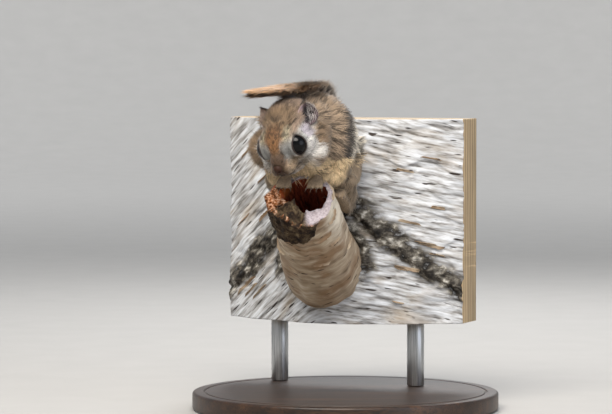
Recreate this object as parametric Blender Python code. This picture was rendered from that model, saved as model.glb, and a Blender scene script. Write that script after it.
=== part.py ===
"""A small northern flying squirrel, life size, crouched on a broken birch stub with its tail over its back.

Metres, +Z up. The origin is the centre of the stand's underside. The squirrel faces -Y.
The flesh is modelled as rounded masses that are fused, and its pieces meet with a gap of 0.3 mm.
"""

import math
import random

import bmesh
import bpy
from mathutils import Matrix, Vector
from mathutils.bvhtree import BVHTree

# Gaps and the fineness of the fused flesh
GAP = 0.0003
KEPT_SHARE = 0.2
CUT_REACH = 0.12
FLESH_VOXEL = 0.0008
FLESH_SMOOTHING = 5

# Stand: a round base and two rods
BASE_RADIUS = 0.070
BASE_THICKNESS = 0.008
BASE_BEVEL = 0.0015
ROD_RADIUS = 0.004
ROD_SPREAD = 0.034
ROD_DEPTH = 0.022
ROD_SIDES = 16

# Trunk: a slab split from a birch 190 mm thick, its bark side turned to the front left
TRUNK_RADIUS = 0.095
TRUNK_TURN = math.radians(-22.0)
TRUNK_FACE = Vector((-0.007, 0.013, 0.0))
SLAB_HALF_WIDTH = 0.058
SLAB_DEPTH = 0.038
SLAB_BOTTOM = 0.038
SLAB_TOP = 0.132
COLLAR_SWELLING = 0.012
COLLAR_WIDTH = 0.021
COLLAR_HEIGHT = 0.024
RIDGE_HEIGHT = 0.0024
RIDGE_WIDTH = 0.0042
RIDGE_RISE = 0.040
RIDGE_SLOPE = 0.85
RIPPLE = 0.0007
SLAB_COLUMNS = 20
SLAB_ROWS = 17

# Stub: the hollow end of a snapped branch, 30 mm thick
STUB_ROOT = Vector((-0.0093, 0.0100, 0.0620))
STUB_RIM = Vector((-0.0198, -0.0405, 0.0968))
STUB_RADIUS = 0.0138
STUB_ROOT_RADIUS = 0.0185
STUB_SINK = 0.010
STUB_WALL = 0.0030
STUB_HOLLOW_DEPTH = 0.026
LIP_TURN = math.radians(308.0)
LIP_WALL = 0.0070
LIP_RISE = 0.0062
STUB_SIDES = 30
JAG = 0.0050

# Body: its middle, its heading and its main masses, as (forward, left, up) from that middle
BODY_CENTRE = Vector((-0.0150, -0.0150, 0.1180))
BODY_YAW = math.radians(15.0)
TORSO_MASSES = (
    ((0.0065, 0.0006, 0.0066), (0.0205, 0.0218, 0.0214)),
    ((-0.0085, 0.0, -0.0040), (0.0195, 0.0205, 0.0195)),
    ((0.0000, 0.0, 0.0030), (0.0200, 0.0205, 0.0215)),
    ((0.0165, 0.0, 0.0010), (0.0130, 0.0150, 0.0125)),
    ((-0.0020, 0.0, -0.0120), (0.0180, 0.0165, 0.0110)),
)
NECK_MASSES = (
    ((0.0180, -0.0020, 0.0105), (0.0150, 0.0165, 0.0160)),
    ((0.0240, -0.0030, 0.0105), (0.0110, 0.0145, 0.0135)),
)
NECK_CUT = 0.0170
BODY_FACES = 1150

# Head: its middle, its heading and its masses, as (nose, left, up) from that middle
HEAD_CENTRE = Vector((-0.0254, -0.0440, 0.1246))
HEAD_YAW = math.radians(25.0)
HEAD_PITCH = math.radians(40.0)
HEAD_ROLL = math.radians(12.0)
HEAD_MIDDLE_MASSES = (
    ((-0.0045, 0.0, 0.0030), (0.0138, 0.0117, 0.0117)),
    ((0.0045, 0.0, 0.0040), (0.0102, 0.0088, 0.0080)),
    ((0.0105, 0.0, -0.0005), (0.0076, 0.0048, 0.0048)),
    ((0.0166, 0.0, -0.0024), (0.0024, 0.0023, 0.0019)),
    ((0.0045, 0.0, -0.0080), (0.0100, 0.0068, 0.0050)),
    ((0.0112, 0.0, -0.0082), (0.0038, 0.0031, 0.0023)),
    ((-0.0045, -0.0168, -0.0062), (0.0085, 0.0070, 0.0088)),
)
HEAD_SIDE_MASSES = (
    ((0.0005, 0.0090, -0.0052), (0.0100, 0.0070, 0.0084)),
    ((-0.0060, 0.0088, -0.0040), (0.0080, 0.0062, 0.0076)),
    ((0.0124, 0.0027, -0.0044), (0.0054, 0.0038, 0.0040)),
    ((0.0052, 0.0064, 0.0048), (0.0066, 0.0036, 0.0042)),
)
HEAD_VOXEL = 0.0006
HEAD_FACES = 1200

# Eyes and their lids
EYE_CENTRE = Vector((0.0067, 0.0072, 0.0019))
EYE_RADIUS = 0.0052
EYE_LOOK = Vector((0.60, 0.78, 0.18))
LID_ANGLE_WIDE = math.radians(47.0)
LID_ANGLE_HIGH = math.radians(63.0)
LID_THICKNESS = 0.00065
LID_REACH = 0.00030
LID_STEPS = 16

# Nose, nostrils and mouth
NOSE_PAD_CENTRE = Vector((0.0176, 0.0, -0.0021))
NOSE_PAD_RADII = (0.0015, 0.0020, 0.0014)
NOSTRIL_CENTRE = Vector((0.0188, 0.0009, -0.0024))
NOSTRIL_RADIUS = 0.00045
MOUTH_AXIS_START = Vector((0.0050, 0.0, -0.0062))
MOUTH_CORNER_ANGLE = math.radians(60.0)
MOUTH_STEPS = 11
LIP_LIFT = 0.0011
MOUTH_GROOVE = 0.00040
LIP_RADIUS = 0.00050

# Ears
EAR_ROOT = Vector((-0.0010, 0.0088, 0.0012))
EAR_AXIS = Vector((-0.62, 0.28, 0.70))
EAR_OPENING = Vector((0.70, 0.55, 0.45))
EAR_LENGTH = 0.0150
EAR_HALF_WIDTH = 0.0058
EAR_CUP = 0.0046
EAR_THICKNESS = 0.0010
EAR_COLUMNS = 8
EAR_ROWS = 7

# Fingers and toes: how a short tube's end is rounded
DIGIT_CAPS = ((0.65, 0.75),)

# Limbs: how many masses make one, how flat they are and how fine the surface is
LIMB_STEPS = 6
LIMB_FLATNESS = 0.85
LIMB_FACES = 230

# Legs, as (forward, left, up) from the body's middle, then the half width
ARM_POINTS = (
    (0.0120, 0.0120, 0.0000, 0.0080),
    (0.0090, 0.0145, -0.0060, 0.0064),
    (0.0120, 0.0140, -0.0100, 0.0048),
    (0.0160, 0.0095, -0.0112, 0.0036),
)
HAND_CENTRE = Vector((0.0180, 0.0072, -0.0108))
HAND_RADII = (0.0038, 0.0030, 0.0022)
THIGH_POINTS = (
    (-0.0100, 0.0110, -0.0030, 0.0110),
    (-0.0035, 0.0140, -0.0085, 0.0092),
    (0.0020, 0.0150, -0.0130, 0.0062),
)
SHIN_POINTS = (
    (0.0020, 0.0168, -0.0120, 0.0056),
    (-0.0045, 0.0160, -0.0180, 0.0045),
    (-0.0105, 0.0142, -0.0240, 0.0034),
)
FOOT_CENTRE = Vector((-0.0020, 0.0132, -0.0220))
FOOT_PITCH = math.radians(-30.0)

# Skin fold between wrist and ankle: its edge, as (forward, left, up, reach)
FOLD_POINTS = (
    (0.0175, 0.0088, -0.0078, 0.0022),
    (0.0155, 0.0132, -0.0046, 0.0032),
    (0.0105, 0.0162, -0.0012, 0.0038),
    (0.0020, 0.0186, 0.0026, 0.0038),
    (-0.0060, 0.0182, 0.0056, 0.0038),
    (-0.0135, 0.0160, 0.0048, 0.0042),
    (-0.0185, 0.0140, -0.0006, 0.0042),
    (-0.0190, 0.0130, -0.0090, 0.0040),
    (-0.0150, 0.0130, -0.0170, 0.0030),
)
FOLD_THICKNESS = 0.0046
FOLD_STEPS = 13

# Tail: its line, as world places, then half width and half thickness of the whole tail
TAIL_POINTS = (
    (-0.0120, 0.0060, 0.1040, 0.0050, 0.0030),
    (-0.0120, 0.0118, 0.1150, 0.0065, 0.0030),
    (-0.0124, 0.0096, 0.1262, 0.0080, 0.0030),
    (-0.0135, -0.0008, 0.1366, 0.0096, 0.0028),
    (-0.0160, -0.0125, 0.1434, 0.0114, 0.0028),
    (-0.0205, -0.0245, 0.1462, 0.0123, 0.0026),
    (-0.0275, -0.0345, 0.1464, 0.0112, 0.0022),
    (-0.0365, -0.0410, 0.1456, 0.0078, 0.0018),
    (-0.0455, -0.0450, 0.1448, 0.0024, 0.0010),
)
TAIL_NODES = ("tail_root", "tail_middle", "tail_tip")
TAIL_CUTS = (0.30, 0.62)
TAIL_STEPS = 24
TAIL_SIDES = 8
CORE_SHARE = 0.46
CORE_END = 0.84

# Locks of the tail: where they root, how far they sweep out from the tail's line, and their shape
EDGE_LOCKS = 20
TOP_LOCKS = 7
FAN_LOCKS = 7
FREE_START = 0.66
LOCK_SPACING = (0.2, 0.8)
LOCK_ROOT = 0.35
LOCK_SWEEP = math.radians(42.0)
SWEEP_SHARES = (0.85, 1.12)
TOP_SWEEPS = (0.15, 0.40)
FAN_SPREAD = math.radians(30.0)
FAN_START = 0.80
LOCK_BEND = 0.45
LOCK_HALF_WIDTHS = (0.0026, 0.0031, 0.0036)
LOCK_TAPER = (0.70, 1.0, 0.10)
LOCK_HALF_THICKNESS = 0.0010
LOCK_THINNING = (1.0, 0.9, 0.30)
LOCK_TIER = 0.0007
LOCK_SCATTER = 0.0004


def clear_scene():
    for obj in list(bpy.data.objects):
        bpy.data.objects.remove(obj)


def finish_of(name, colour, roughness, metallic=0.0):
    """A plain finish for one kind of surface."""
    material = bpy.data.materials.new(name)
    material.use_nodes = True
    shader = material.node_tree.nodes["Principled BSDF"]
    shader.inputs["Base Color"].default_value = (*colour, 1.0)
    shader.inputs["Roughness"].default_value = roughness
    shader.inputs["Metallic"].default_value = metallic
    material.diffuse_color = (*colour, 1.0)
    return material


def object_of(name, mesh):
    """Links a bmesh to the scene as an object of that name."""
    bmesh.ops.recalc_face_normals(mesh, faces=mesh.faces)
    data = bpy.data.meshes.new(name)
    mesh.to_mesh(data)
    mesh.free()
    obj = bpy.data.objects.new(name, data)
    bpy.context.scene.collection.objects.link(obj)
    return obj


def facing(centre, yaw, pitch=0.0, roll=0.0):
    """A frame with X forward, Y to the animal's left and Z up. Yaw 0 faces -Y, and pitch lowers the nose."""
    forward = Vector((
        -math.sin(yaw) * math.cos(pitch),
        -math.cos(yaw) * math.cos(pitch),
        -math.sin(pitch),
    ))
    left = Vector((math.cos(yaw), -math.sin(yaw), 0.0))
    left = Matrix.Rotation(roll, 3, forward) @ left
    up = forward.cross(left)
    frame = Matrix((forward, left, up)).transposed().to_4x4()
    return Matrix.Translation(centre) @ frame


def mirrored(point, side):
    """A point given for the left side, on the side asked for: 1 is left and -1 is right."""
    return Vector((point[0], point[1] * side, point[2]))


def ball(frame, centre, radii, subdivisions=3):
    """A rounded mass with three half widths along the frame's axes."""
    mesh = bmesh.new()
    place = frame @ Matrix.Translation(centre) @ Matrix.Diagonal((*radii, 1.0))
    bmesh.ops.create_icosphere(mesh, subdivisions=subdivisions, radius=1.0, matrix=place)
    return object_of("mass", mesh)


def smooth_line(points, steps):
    """Catmull-Rom through rows of numbers, with that many steps in all."""
    rows = [Vector(p) for p in points]
    rows = [rows[0] * 2 - rows[1], *rows, rows[-1] * 2 - rows[-2]]
    spans = len(rows) - 3
    line = []
    for i in range(steps + 1):
        at = min(i / steps * spans, spans - 1e-9)
        k = int(at)
        t = at - k
        a, b, c, d = rows[k : k + 4]
        line.append(0.5 * (
            b * 2 + (c - a) * t + (a * 2 - b * 5 + c * 4 - d) * t**2 + (b * 3 - a - c * 3 + d) * t**3
        ))
    return line


def loft(centres, acrosses, half_widths, half_heights, sides, caps=((0.85, 0.50), (0.50, 0.86))):
    """A closed tube of flattened rings along a line, with rounded ends. Acrosses give the rings' wide way."""
    mesh = bmesh.new()
    rings = []
    last = len(centres) - 1
    stations = []
    for i, centre in enumerate(centres):
        along = (centres[min(i + 1, last)] - centres[max(i - 1, 0)]).normalized()
        across = (acrosses[i] - along * acrosses[i].dot(along)).normalized()
        stations.append((centre, along, across, half_widths[i], half_heights[i]))
    first, end = stations[0], stations[-1]
    start_caps = [capped(first, -1.0, share, reach) for share, reach in reversed(caps)]
    end_caps = [capped(end, 1.0, share, reach) for share, reach in caps]
    for centre, along, across, wide, high in [*start_caps, *stations, *end_caps]:
        up = along.cross(across)
        ring = []
        for k in range(sides):
            angle = 2 * math.pi * k / sides
            ring.append(mesh.verts.new(
                centre + across * (wide * math.cos(angle)) + up * (high * math.sin(angle))
            ))
        rings.append(ring)
    for one, two in zip(rings, rings[1:]):
        for k in range(sides):
            mesh.faces.new((one[k], one[(k + 1) % sides], two[(k + 1) % sides], two[k]))
    for ring, (centre, along, _, _, high), way in ((rings[0], first, -1.0), (rings[-1], end, 1.0)):
        pole = mesh.verts.new(centre + along * (way * high))
        for k in range(sides):
            mesh.faces.new((ring[k], ring[(k + 1) % sides], pole))
    bmesh.ops.triangulate(mesh, faces=[f for f in mesh.faces if len(f.verts) > 3])
    return mesh


def capped(station, way, share, reach):
    """A smaller ring beyond an end of a tube, which rounds it."""
    centre, along, across, wide, high = station
    return (centre + along * (way * reach * high), along, across, wide * share, high * share)


def limb(name, frame, side, points):
    """A tapered limb, fused from masses along a line, each with its half width."""
    masses = []
    for p in smooth_line(points, LIMB_STEPS):
        masses.append(ball(frame, mirrored(p[:3], side), (p[3], p[3] * LIMB_FLATNESS, p[3])))
    return thinned(fused(name, masses, smoothing=2), LIMB_FACES)


def baked(obj):
    """Applies the object's modifiers to its mesh."""
    graph = bpy.context.evaluated_depsgraph_get()
    data = bpy.data.meshes.new_from_object(obj.evaluated_get(graph))
    obj.modifiers.clear()
    obj.data = data
    return obj


def joined(name, pieces):
    """Puts the meshes of several objects in one object, and removes those objects."""
    mesh = bmesh.new()
    for piece in pieces:
        mesh.from_mesh(piece.data)
        bpy.data.objects.remove(piece)
    return object_of(name, mesh)


def thinned(obj, faces):
    """Brings a mesh down to about that many triangles."""
    triangles = sum(len(p.vertices) - 2 for p in obj.data.polygons)
    reduce = obj.modifiers.new("Thin", "DECIMATE")
    reduce.ratio = min(1.0, faces / triangles)
    reduce.use_collapse_triangulate = True
    return baked(obj)


def fused(name, pieces, voxel=FLESH_VOXEL, smoothing=FLESH_SMOOTHING):
    """Fuses overlapping masses to one smooth skin."""
    obj = joined(name, pieces)
    remesh = obj.modifiers.new("Fuse", "REMESH")
    remesh.mode = "VOXEL"
    remesh.voxel_size = voxel
    smooth = obj.modifiers.new("Soften", "SMOOTH")
    smooth.factor = 0.5
    smooth.iterations = smoothing
    return baked(obj)


def copy_of(obj, grow=0.0):
    """A copy of an object, grown outwards along its normals."""
    data = obj.data.copy()
    copy = bpy.data.objects.new(obj.name + "_copy", data)
    bpy.context.scene.collection.objects.link(copy)
    if grow:
        normals = [v.normal.copy() for v in data.vertices]
        for vertex, normal in zip(data.vertices, normals):
            vertex.co += normal * grow
    return copy


def measured(data):
    """A mesh's volume, or 0 where it isn't closed."""
    mesh = bmesh.new()
    mesh.from_mesh(data)
    volume = mesh.calc_volume() if all(e.is_manifold for e in mesh.edges) else 0.0
    mesh.free()
    return volume


def combine(obj, tool, how):
    """Applies one Boolean and removes the tool. The second solver is for what the first leaves open."""
    before = obj.data
    least = KEPT_SHARE * measured(before)
    for solver in ("EXACT", "MANIFOLD"):
        obj.data = before
        boolean = obj.modifiers.new("Boolean", "BOOLEAN")
        boolean.operation = how
        boolean.solver = solver
        boolean.object = tool
        baked(obj)
        if measured(obj.data) > least:
            break
    bpy.data.objects.remove(tool)
    return obj


def cleared(obj, *rooms):
    """Cuts an object clear of the room that its neighbours take, and keeps its largest piece."""
    for room in rooms:
        combine(obj, copy_of(room), "DIFFERENCE")
    return largest(obj)


def largest(obj):
    """Keeps the largest closed surface of an object."""
    mesh = bmesh.new()
    mesh.from_mesh(obj.data)
    left = set(mesh.faces)
    groups = []
    while left:
        group = set()
        front = [left.pop()]
        while front:
            face = front.pop()
            group.add(face)
            for edge in face.edges:
                for other in edge.link_faces:
                    if other in left:
                        left.remove(other)
                        front.append(other)
        groups.append(group)
    groups.sort(key=lambda g: sum(f.calc_area() for f in g))
    for group in groups[:-1]:
        bmesh.ops.delete(mesh, geom=list(group), context="FACES")
    mesh.to_mesh(obj.data)
    mesh.free()
    return obj


def far_side(frame, forward, way):
    """A block that fills one side of a cut across a frame's X axis, and half the gap on its other side."""
    mesh = bmesh.new()
    place = frame @ Matrix.Translation((forward + way * (CUT_REACH - GAP) / 2, 0.0, 0.0))
    bmesh.ops.create_cube(mesh, size=CUT_REACH, matrix=place)
    return object_of("block", mesh)


def dressed(obj, material, name=None):
    """Gives a finished piece its name, its finish and smooth shading."""
    if name:
        obj.name = name
        obj.data.name = name
    obj.data.materials.clear()
    obj.data.materials.append(material)
    obj.data.shade_smooth()
    obj.data.set_sharp_from_angle(angle=math.radians(40.0))
    return obj


def cylinder(name, centre, radius, height, sides):
    mesh = bmesh.new()
    place = Matrix.Translation((centre[0], centre[1], centre[2] + height / 2))
    bmesh.ops.create_cone(
        mesh, cap_ends=True, segments=sides, radius1=radius, radius2=radius, depth=height, matrix=place
    )
    return object_of(name, mesh)


# The stand


def build_base(material):
    base = cylinder("stand_base", (0.0, 0.0, 0.0), BASE_RADIUS, BASE_THICKNESS, 48)
    bevel = base.modifiers.new("Edge", "BEVEL")
    bevel.width = BASE_BEVEL
    bevel.segments = 1
    bevel.limit_method = "ANGLE"
    dressed(base, material)


def trunk_frame():
    """X runs across the slab to the right, Y into the wood and Z up, from the bark's middle."""
    return Matrix.Translation(TRUNK_FACE) @ Matrix.Rotation(TRUNK_TURN, 4, "Z")


def build_rods(material):
    frame = trunk_frame()
    for name, way in (("stand_rod_left", -1.0), ("stand_rod_right", 1.0)):
        foot = frame @ Vector((ROD_SPREAD * way, ROD_DEPTH, 0.0))
        height = SLAB_BOTTOM - BASE_THICKNESS - 2 * GAP
        rod = cylinder(name, (foot.x, foot.y, BASE_THICKNESS + GAP), ROD_RADIUS, height, ROD_SIDES)
        dressed(rod, material)


# The trunk and its hollow stub


def bark_depth(across, height):
    """How far behind the bark's foremost line its surface lies, at a place on the slab."""
    drop = TRUNK_RADIUS - math.sqrt(TRUNK_RADIUS**2 - across**2)
    from_root = height - STUB_ROOT.z
    collar = COLLAR_SWELLING * math.exp(-((across / COLLAR_WIDTH) ** 2 + (from_root / COLLAR_HEIGHT) ** 2))
    arch = RIDGE_RISE - RIDGE_SLOPE * abs(across)
    ridge = RIDGE_HEIGHT * math.exp(-(((from_root - arch) / RIDGE_WIDTH) ** 2))
    ripple = RIPPLE * math.sin(across * 260.0 + 3.0 * math.sin(height * 90.0))
    return drop - collar - ridge - ripple


def build_trunk(material):
    frame = trunk_frame()
    columns, rows = SLAB_COLUMNS, SLAB_ROWS
    mesh = bmesh.new()
    front = []
    for i in range(columns + 1):
        across = SLAB_HALF_WIDTH * (2 * i / columns - 1)
        column = []
        for j in range(rows + 1):
            height = SLAB_BOTTOM + (SLAB_TOP - SLAB_BOTTOM) * j / rows
            column.append(mesh.verts.new(frame @ Vector((across, bark_depth(across, height), height))))
        front.append(column)
    for i in range(columns):
        for j in range(rows):
            mesh.faces.new((front[i][j], front[i + 1][j], front[i + 1][j + 1], front[i][j + 1]))
    rim = [front[i][0] for i in range(columns + 1)]
    rim += [front[columns][j] for j in range(1, rows + 1)]
    rim += [front[i][rows] for i in range(columns - 1, -1, -1)]
    rim += [front[0][j] for j in range(rows - 1, 0, -1)]
    inverse = frame.inverted()
    back = []
    for vertex in rim:
        place = inverse @ vertex.co
        place.y = SLAB_DEPTH
        back.append(mesh.verts.new(frame @ place))
    for k in range(len(rim)):
        n = (k + 1) % len(rim)
        mesh.faces.new((rim[k], rim[n], back[n], back[k]))
    mesh.faces.new(back)
    bmesh.ops.triangulate(mesh, faces=mesh.faces)
    return dressed(object_of("perch_trunk", mesh), material)


def lip_share(angle):
    """How much of the broken lip stands at this side of the stub. It is full at the lower left."""
    return max(0.0, math.cos(angle - LIP_TURN)) ** 1.5


def rim_length(angle, across):
    """How far the broken rim stands past its mean. Across runs from 0 at its outer edge to 1 inside."""
    lip = lip_share(angle)
    notches = 0.30 * math.sin(angle * 5.0 + 0.6) + 0.22 * math.sin(angle * 11.0 + 2.1 + 4.0 * across)
    return LIP_RISE * lip * (1.0 - 0.35 * across) + JAG * notches * (0.35 + lip)


def build_stub(material):
    """The stub, hollow at its broken end, with a thick lip of broken wood at its lower left."""
    length = (STUB_RIM - STUB_ROOT).length
    along = (STUB_RIM - STUB_ROOT).normalized()
    right = along.cross(Vector((0.0, 0.0, 1.0))).normalized()
    top = right.cross(along)
    mesh = bmesh.new()

    def ring(outer, inward, distance, jag, across=0.0):
        """A ring of points. Inward runs from 0 at the bark to 1 at the wall of the hollow."""
        row = []
        for k in range(STUB_SIDES):
            angle = 2 * math.pi * k / STUB_SIDES
            wall = STUB_WALL + LIP_WALL * lip_share(angle)
            radius = (outer - inward * wall) * (1.0 + 0.025 * math.sin(3 * angle + distance * 120.0))
            reach = distance + jag * rim_length(angle, across)
            side = right * math.cos(angle) + top * math.sin(angle)
            row.append(mesh.verts.new(STUB_ROOT + along * reach + side * radius))
        return row

    rings = [ring(STUB_ROOT_RADIUS * 0.7, 0.0, -STUB_SINK, 0.0)]
    for share in (0.0, 0.2, 0.4, 0.6, 0.8):
        radius = STUB_ROOT_RADIUS + (STUB_RADIUS - STUB_ROOT_RADIUS) * share
        rings.append(ring(radius, 0.0, length * share, share**4))
    for inward in (0.0, 0.5, 1.0):
        rings.append(ring(STUB_RADIUS, inward, length, 1.0, inward))
    for share, narrowing in ((0.35, 0.0006), (0.7, 0.0012), (1.0, 0.0034)):
        depth = length - STUB_HOLLOW_DEPTH * share
        rings.append(ring(STUB_RADIUS - narrowing, 1.0, depth, 1.0 - share))
    for one, two in zip(rings, rings[1:]):
        for k in range(STUB_SIDES):
            n = (k + 1) % STUB_SIDES
            mesh.faces.new((one[k], one[n], two[n], two[k]))
    mesh.faces.new(rings[0])
    mesh.faces.new(rings[-1])
    bmesh.ops.triangulate(mesh, faces=mesh.faces)
    return dressed(object_of("perch_stub", mesh), material)


# The head


def build_head(frame):
    masses = [ball(frame, c, r) for c, r in HEAD_MIDDLE_MASSES]
    for side in (1, -1):
        masses += [ball(frame, mirrored(c, side), r) for c, r in HEAD_SIDE_MASSES]
    return thinned(fused("head", masses, HEAD_VOXEL), HEAD_FACES)


def eye_frame(frame, side):
    """The eye's frame, whose X runs where it looks and whose Z runs up the lids."""
    look = mirrored(EYE_LOOK, side).normalized()
    up = Vector((-0.25, 0.0, 1.0))
    up = (up - look * up.dot(look)).normalized()
    turn = Matrix((look, up.cross(look), up)).transposed().to_4x4()
    return frame @ Matrix.Translation(mirrored(EYE_CENTRE, side)) @ turn


def build_eye(frame, side, material):
    name = "eye_left" if side > 0 else "eye_right"
    mesh = bmesh.new()
    place = eye_frame(frame, side)
    bmesh.ops.create_uvsphere(mesh, u_segments=14, v_segments=8, radius=EYE_RADIUS, matrix=place)
    return dressed(object_of(name, mesh), material)


def build_lids(frame, side):
    """A ring of lid around the opening of the eye."""
    place = eye_frame(frame, side)
    line = []
    for k in range(LID_STEPS):
        turn = 2 * math.pi * k / LID_STEPS
        tilt = math.hypot(LID_ANGLE_WIDE * math.cos(turn), LID_ANGLE_HIGH * math.sin(turn))
        reach = EYE_RADIUS + LID_REACH
        line.append(place @ Vector((
            reach * math.cos(tilt),
            reach * math.sin(tilt) * math.cos(turn),
            reach * math.sin(tilt) * math.sin(turn),
        )))
    return ring_tube("lids", line, LID_THICKNESS, 4)


def ring_tube(name, line, radius, sides):
    """A closed loop of tube through a ring of points."""
    mesh = bmesh.new()
    count = len(line)
    centre = sum(line, Vector()) / count
    rings = []
    for k, point in enumerate(line):
        along = (line[(k + 1) % count] - line[k - 1]).normalized()
        out = point - centre
        out = (out - along * out.dot(along)).normalized()
        up = along.cross(out)
        ring = []
        for s in range(sides):
            angle = 2 * math.pi * s / sides
            ring.append(mesh.verts.new(point + (out * math.cos(angle) + up * math.sin(angle)) * radius))
        rings.append(ring)
    for k in range(count):
        one, two = rings[k], rings[(k + 1) % count]
        for s in range(sides):
            n = (s + 1) % sides
            mesh.faces.new((one[s], one[n], two[n], two[s]))
    return object_of(name, mesh)


def mouth_line(frame, head, lift):
    """Points on the muzzle along the line of the mouth, found from inside it, raised by lift."""
    tree = BVHTree.FromPolygons(
        [v.co.copy() for v in head.data.vertices], [tuple(p.vertices) for p in head.data.polygons]
    )
    start = frame @ MOUTH_AXIS_START
    line = []
    for k in range(MOUTH_STEPS):
        share = 2 * k / (MOUTH_STEPS - 1) - 1
        angle = MOUTH_CORNER_ANGLE * share
        droop = 0.02 + 0.10 * abs(share) ** 1.5
        way = frame.to_3x3() @ Vector((math.cos(angle), math.sin(angle), -droop + lift * 60.0))
        hit = tree.ray_cast(start, way.normalized())
        line.append(hit[0])
    return line


def tube_along(name, line, radius, sides=4):
    """A tube of one thickness along a line, with rounded ends."""
    across = Vector((0.0, 0.0, 1.0))
    sizes = [radius] * len(line)
    return object_of(name, loft(line, [across] * len(line), sizes, sizes, sides, DIGIT_CAPS))


def finish_head(frame, head, eyes, material):
    """Adds lips, lids and nose pad to the head, then cuts the sockets, nostrils and mouth."""
    for lift in (LIP_LIFT, -LIP_LIFT):
        combine(head, tube_along("lip", mouth_line(frame, head, lift), LIP_RADIUS), "UNION")
    groove = tube_along("mouth", mouth_line(frame, head, 0.0), MOUTH_GROOVE)
    combine(head, ball(frame, NOSE_PAD_CENTRE, NOSE_PAD_RADII, 2), "UNION")
    for side in (1, -1):
        combine(head, build_lids(frame, side), "UNION")
    combine(head, groove, "DIFFERENCE")
    for side in (1, -1):
        radius = (NOSTRIL_RADIUS * 1.8, NOSTRIL_RADIUS, NOSTRIL_RADIUS)
        combine(head, ball(frame, mirrored(NOSTRIL_CENTRE, side), radius, 1), "DIFFERENCE")
    for eye in eyes:
        combine(head, copy_of(eye, GAP), "DIFFERENCE")
    dressed(largest(head), material)


def build_ear(frame, side, material):
    """A rounded, cupped ear, thick at its root and thin at its rim."""
    name = "ear_left" if side > 0 else "ear_right"
    axis = mirrored(EAR_AXIS, side).normalized()
    opening = mirrored(EAR_OPENING, side)
    opening = (opening - axis * opening.dot(axis)).normalized()
    across = axis.cross(opening)
    root = mirrored(EAR_ROOT, side)
    columns, rows = EAR_COLUMNS, EAR_ROWS
    mesh = bmesh.new()
    sheets = []
    for inner in (False, True):
        sheet = []
        for j in range(rows + 1):
            share = j / rows
            width = EAR_HALF_WIDTH * math.sqrt(max(0.0, 1 - (2.0 * max(share - 0.42, 0.0) / 1.16) ** 2.2))
            width *= 0.62 + 0.38 * min(1.0, share / 0.42)
            row = []
            for i in range(columns + 1):
                u = 2 * i / columns - 1
                bend = EAR_CUP * (1 - u * u) * math.sin(math.pi * min(1.0, 0.18 + share * 0.82))
                back = -bend - 0.0015 * share
                if inner:
                    back += EAR_THICKNESS * (1.0 - 0.35 * share)
                    here = width * (1 - 0.10 * (1 - abs(u) * 0.2))
                    reach = EAR_LENGTH * share * 0.965
                else:
                    here, reach = width, EAR_LENGTH * share
                place = root + axis * reach + across * (here * u) + opening * back
                row.append(mesh.verts.new(frame @ place))
            sheet.append(row)
        sheets.append(sheet)
    outer, inner_sheet = sheets
    for sheet, turned in ((outer, False), (inner_sheet, True)):
        for j in range(rows):
            for i in range(columns):
                quad = [sheet[j][i], sheet[j][i + 1], sheet[j + 1][i + 1], sheet[j + 1][i]]
                mesh.faces.new(quad[::-1] if turned else quad)
    rim_outer = outline_of(outer)
    rim_inner = outline_of(inner_sheet)
    count = len(rim_outer)
    for k in range(count):
        n = (k + 1) % count
        mesh.faces.new((rim_outer[k], rim_outer[n], rim_inner[n], rim_inner[k]))
    bmesh.ops.triangulate(mesh, faces=mesh.faces)
    return dressed(object_of(name, mesh), material)


def outline_of(sheet):
    """The border of a grid of points, in order."""
    rows, columns = len(sheet) - 1, len(sheet[0]) - 1
    line = [sheet[0][i] for i in range(columns + 1)]
    line += [sheet[j][columns] for j in range(1, rows + 1)]
    line += [sheet[rows][i] for i in range(columns - 1, -1, -1)]
    line += [sheet[j][0] for j in range(rows - 1, 0, -1)]
    return line


# The body, legs and skin folds


def build_body(frame):
    """Torso and neck, fused as one."""
    masses = [ball(frame, c, r) for c, r in (*TORSO_MASSES, *NECK_MASSES)]
    return thinned(fused("body", masses), BODY_FACES)


def parted(frame, whole):
    """Parts the body in torso and neck with a thin cut."""
    neck = copy_of(whole)
    combine(whole, far_side(frame, NECK_CUT, 1), "DIFFERENCE")
    combine(neck, far_side(frame, NECK_CUT, -1), "DIFFERENCE")
    whole.name, neck.name = "torso", "neck"
    return largest(whole), largest(neck)


def digit(frame, start, way, length, radius, curl):
    """One finger or toe with its claw, curling down along its length."""
    way = way.normalized()
    down = Vector((0.0, 0.0, -1.0))
    line = []
    for share in (0.0, 0.5, 1.0):
        line.append(frame @ (start + way * (length * share) + down * (curl * share**2)))
    widths = [radius * 1.1, radius, radius * 0.95]
    up = frame.to_3x3() @ Vector((0.0, 1.0, 0.0))
    toe = object_of("digit", loft(line, [up] * 3, widths, widths, 5, DIGIT_CAPS))
    tip = start + way * (length + radius * 0.3) + down * curl
    claw_line = []
    for share in (-0.3, 0.4, 1.0):
        claw_line.append(frame @ (tip + way * (0.0019 * share) + down * (0.0013 * share * abs(share))))
    sizes = [radius * 0.55, radius * 0.42, radius * 0.12]
    claw = object_of("claw", loft(claw_line, [up] * 3, sizes, sizes, 4, ()))
    return toe, claw


def paw(name, frame, palm_centre, palm_radii, digits):
    """A hand or foot: a palm with its digits and claws, joined."""
    obj = ball(frame, palm_centre, palm_radii, 2)
    for start, way, length, radius, curl in digits:
        toe, claw = digit(frame, start, way, length, radius, curl)
        combine(obj, toe, "UNION")
        combine(obj, claw, "UNION")
    obj.name = name
    return largest(obj)


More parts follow.
